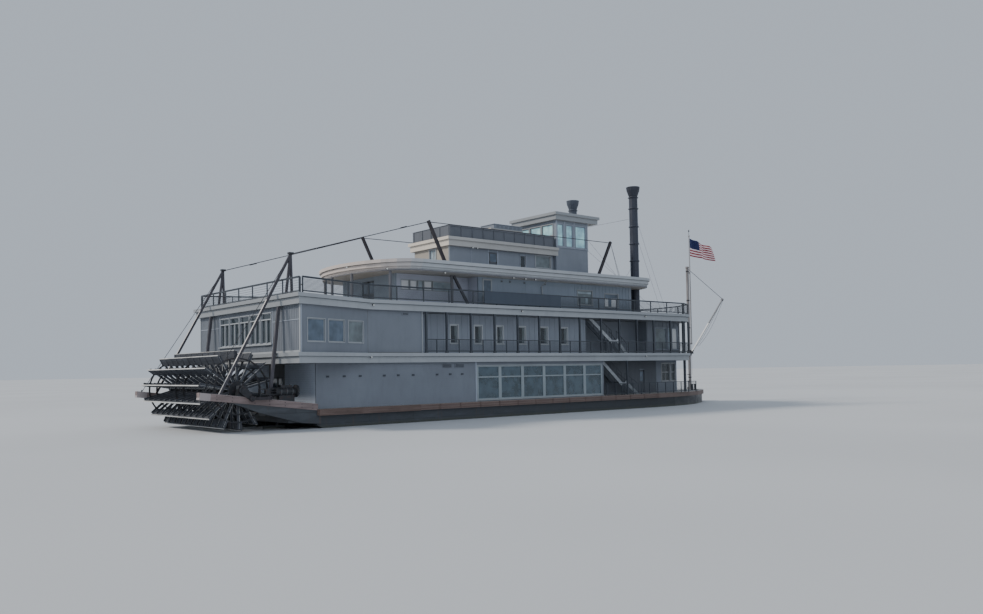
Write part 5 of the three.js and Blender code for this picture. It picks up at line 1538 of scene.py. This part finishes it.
class BOAT_OT_chimneys(bpy.types.Operator):
    """Adds band bolts, deck collars, the cross stay and the guy wires to the chimneys"""

    bl_idname = "boat.chimneys"
    bl_label = "Chimneys"

    def execute(self, context):
        bm = bmesh.new()
        x, half, r = CHIMNEY
        rail = THIRD_TOP + RAIL_HEIGHT
        bolts = 12
        for side in SIDES:
            y = side * half
            for z in BAND_HEIGHTS:
                for i in range(bolts):
                    a = 2 * math.pi * i / bolts
                    p, q = (Vector((x + reach * math.cos(a), y + reach * math.sin(a), z))
                            for reach in (r + 0.05, r + 0.095))
                    add_rod(bm, p, q, 0.03, 6)
            collar = [(r, 9.2), (r + 0.09, 9.2), (r + 0.12, 8.91), (r, 8.91), (r, 9.2)]
            add_turned(bm, collar, (x, y, 0))
            for band, foot in (
                (1, (45.6, side * 1.4, rail)),
                (2, (46.1, side * 0.4, rail)),
                (2, (36.7, side * 4.9, HURRICANE_TOP)),
                (4, (35.2, side * 5.2, HURRICANE_TOP)),
            ):
                add_wire(bm, (x, y, BAND_HEIGHTS[band]), foot, 0.01, 0.04, 4)
        add_rod(bm, (x, -half + r, 18.1), (x, half - r, 18.1), 0.012, 8)
        make_piece(bm, "chimney_details", "stack")
        return {"FINISHED"}


# Rigging

MAST_TOP = (1.1, 5.66, 11.72)
MID_POST = (13.06, 4.84, 15.3)
FORE_POST = (33.7, 4.84, 15.37)


class BOAT_OT_rigging(bpy.types.Operator):
    """Adds mast bands, turnbuckles, stays and the slanting beam of the hog frames"""

    bl_idname = "boat.rigging"
    bl_label = "Rigging"

    def execute(self, context):
        bm = bmesh.new()
        for side in SIDES:
            top, mid, fore = (Vector((x, side * y, z)) for x, y, z in (MAST_TOP, MID_POST, FORE_POST))
            add_box(bm, top.x - 0.16, top.x + 0.18, top.y - 0.14, top.y + 0.14, top.z - 0.02, top.z + 0.12)
            d = 0.3 * (mid - top).normalized()
            for t in (0.2, 0.8):
                p = top.lerp(mid, t) - Vector((0, 0, 0.05))
                add_rod(bm, p - d, p + d, 0.045)
            foot = Vector((-4.9, side * 5.9, timber_top(-4.9) + 0.01))
            add_wire(bm, top - Vector((0.1, 0, 0.2)), foot, 0.02)
            add_stub(bm, foot, (0, 0, 0.12), 0.05, 8)
            for x, y in ((34.2, 5.4), (34.7, 4.9), (35.5, 4.4)):
                add_wire(bm, fore - Vector((0, 0, 0.1)), (x, side * y, HURRICANE_TOP), 0.01)
            y = side * MID_POST[1]
            add_beam(bm, (15.42, y, HURRICANE_BOTTOM - 0.01), (16.85, y, THIRD_TOP + 0.06), 0.18, 0.18, 1)
        make_piece(bm, "hog_stays", "iron leg")
        return {"FINISHED"}


# Flag

POLE_X = 51.85
FLAG = {"turn": -0.35, "z0": 15.8, "z1": 17.8, "length": 3.4}


class BOAT_OT_flag(bpy.types.Operator):
    """Makes the striped flag as a waving sheet laced to its pole"""

    bl_idname = "boat.flag"
    bl_label = "Flag"

    def execute(self, context):
        bm = bmesh.new()
        bmesh.ops.create_grid(bm, x_segments=68, y_segments=36, size=0.5, calc_uvs=False)
        uv = bm.loops.layers.uv.new("UVMap")
        for face in bm.faces:
            for loop in face.loops:
                loop[uv].uv = (loop.vert.co.x + 0.5, loop.vert.co.y + 0.5)
        height = FLAG["z1"] - FLAG["z0"]
        for v in bm.verts:
            u, w = v.co.x + 0.5, v.co.y + 0.5
            free = min(1.0, u * 2.2)
            deep = 0.13 + 0.13 * w
            ripple = deep * free * math.sin(u * 11 + w * 1.3) + 0.05 * free * math.sin(u * 23 - w * 2.1 + 0.7)
            reach = u * FLAG["length"] * (0.93 - 0.12 * w)
            droop = u * (0.5 + 0.45 * w)
            v.co = Vector((0.085 + reach, ripple, FLAG["z0"] + 0.14 + w * (height - 0.05) - droop))
        turn = Matrix.Translation((POLE_X, 0, 0)) @ Matrix.Rotation(FLAG["turn"], 4, "Z")
        bmesh.ops.transform(bm, matrix=turn, verts=bm.verts)
        flag = make_piece(bm, "striped_flag", "cloth", "root", "flag", recalc=False)
        flag.data.shade_smooth()
        thick = flag.modifiers.new("Cloth thickness", "SOLIDIFY")
        thick.thickness = 0.003
        thick.offset = 0
        return {"FINISHED"}


# Bow gear

KINGPOST_X = 51.4
BOOM_TIP = (57.73, 0, 11.35775)
BITTS = (47.6, 3.3)


class BOAT_OT_bow_gear(bpy.types.Operator):
    """Adds bands, cleats, the halyard, the boom's lift and its falls, and the caps of the bitts"""

    bl_idname = "boat.bow_gear"
    bl_label = "Bow gear"

    def execute(self, context):
        iron, rope = range(2)
        bm = bmesh.new()
        for z in (2.6, 8.0, 11.0, 14.2):
            add_ring(bm, 0.16, 0.185, -0.05, 0.05, (KINGPOST_X, 0, z), UP, 20, iron)
        for z in (2.2, 2.9):
            add_beam(bm, (KINGPOST_X - 0.2, -0.2, z), (KINGPOST_X - 0.2, 0.2, z), 0.05, 0.06, iron)
        add_wire(bm, (51.93, 0.0, 17.95), (51.55, -0.18, 2.9), 0.012, 0.0, 1, 5, rope)
        add_rod(bm, (POLE_X, 0, 18.25), (POLE_X, 0, 18.62), 0.02, 8, iron)
        finial = [(0, 18.6), (0.09, 18.66), (0.03, 18.74), (0.07, 18.8), (0, 18.86)]
        add_turned(bm, finial, (POLE_X, 0, 0), UP, 12, iron)
        make_piece(bm, "kingpost_bands", "iron rope")

        tip = Vector(BOOM_TIP)
        bm = bmesh.new()
        add_rod(bm, tip + Vector((0, -0.1, 0)), tip + Vector((0, 0.1, 0)), 0.12, 14, iron)
        for y, sag in ((0.1, 0.35), (-0.1, 0.6)):
            add_wire(bm, tip + Vector((0, y, -0.05)), (52.9, y, 6.0), 0.016, sag, 6, 5, rope)
        make_piece(bm, "boom_block_and_falls", "iron rope", "boom")

        # the lift crosses the boom's joint, from the kingpost's top to the boom's tip; it is made as a loose
        # object with its transform baked in
        bm = bmesh.new()
        top = (KINGPOST_X, 0, 14.55)
        add_wire(bm, top, tip + Vector((0, 0, 0.08)), 0.026, 0.0, 24)
        lift = make_object(bm, "boom_lift", "rope")
        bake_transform(lift)

        bm = bmesh.new()
        cap = [(0, 1.9), (0.15, 1.9), (0.16, 1.93), (0.14, 1.97), (0, 1.98)]
        for side in SIDES:
            for dx in (-0.28, 0.28):
                add_turned(bm, cap, (BITTS[0] + dx, side * BITTS[1], 0), UP, 18)
        make_piece(bm, "bitt_caps", "iron", smooth=True)
        return {"FINISHED"}


class BOAT_PT_panel(bpy.types.Panel):
    """Lists the boat's sizes, colours and building steps"""

    bl_idname = "BOAT_PT_panel"
    bl_label = "River boat"
    bl_space_type = "VIEW_3D"
    bl_region_type = "UI"
    bl_category = "River boat"

    def draw(self, context):
        layout = self.layout
        for group in (context.scene.boat_sizes, context.scene.boat_colours):
            box = layout.box()
            for key in group.__annotations__:
                box.prop(group, key)
        column = layout.column()
        for step in STEPS:
            column.operator(step.bl_idname)


STEPS = (
    BOAT_OT_stage, BOAT_OT_finishes, BOAT_OT_walls, BOAT_OT_windows, BOAT_OT_doors, BOAT_OT_railings,
    BOAT_OT_wheel, BOAT_OT_stern_gear, BOAT_OT_hull, BOAT_OT_stairs, BOAT_OT_roofs, BOAT_OT_chimneys,
    BOAT_OT_rigging, BOAT_OT_flag, BOAT_OT_bow_gear,
)
CLASSES = (BoatSizes, BoatColours, *STEPS, BOAT_PT_panel)


def register():
    for cls in CLASSES:
        bpy.utils.register_class(cls)
    bpy.types.Scene.boat_sizes = PointerProperty(type=BoatSizes)
    bpy.types.Scene.boat_colours = PointerProperty(type=BoatColours)


def unregister():
    del bpy.types.Scene.boat_sizes
    del bpy.types.Scene.boat_colours
    for cls in reversed(CLASSES):
        bpy.utils.unregister_class(cls)


def main():
    register()
    for step in STEPS:
        group, name = step.bl_idname.split(".")
        getattr(getattr(bpy.ops, group), name)()


if __name__ == "__main__":
    main()
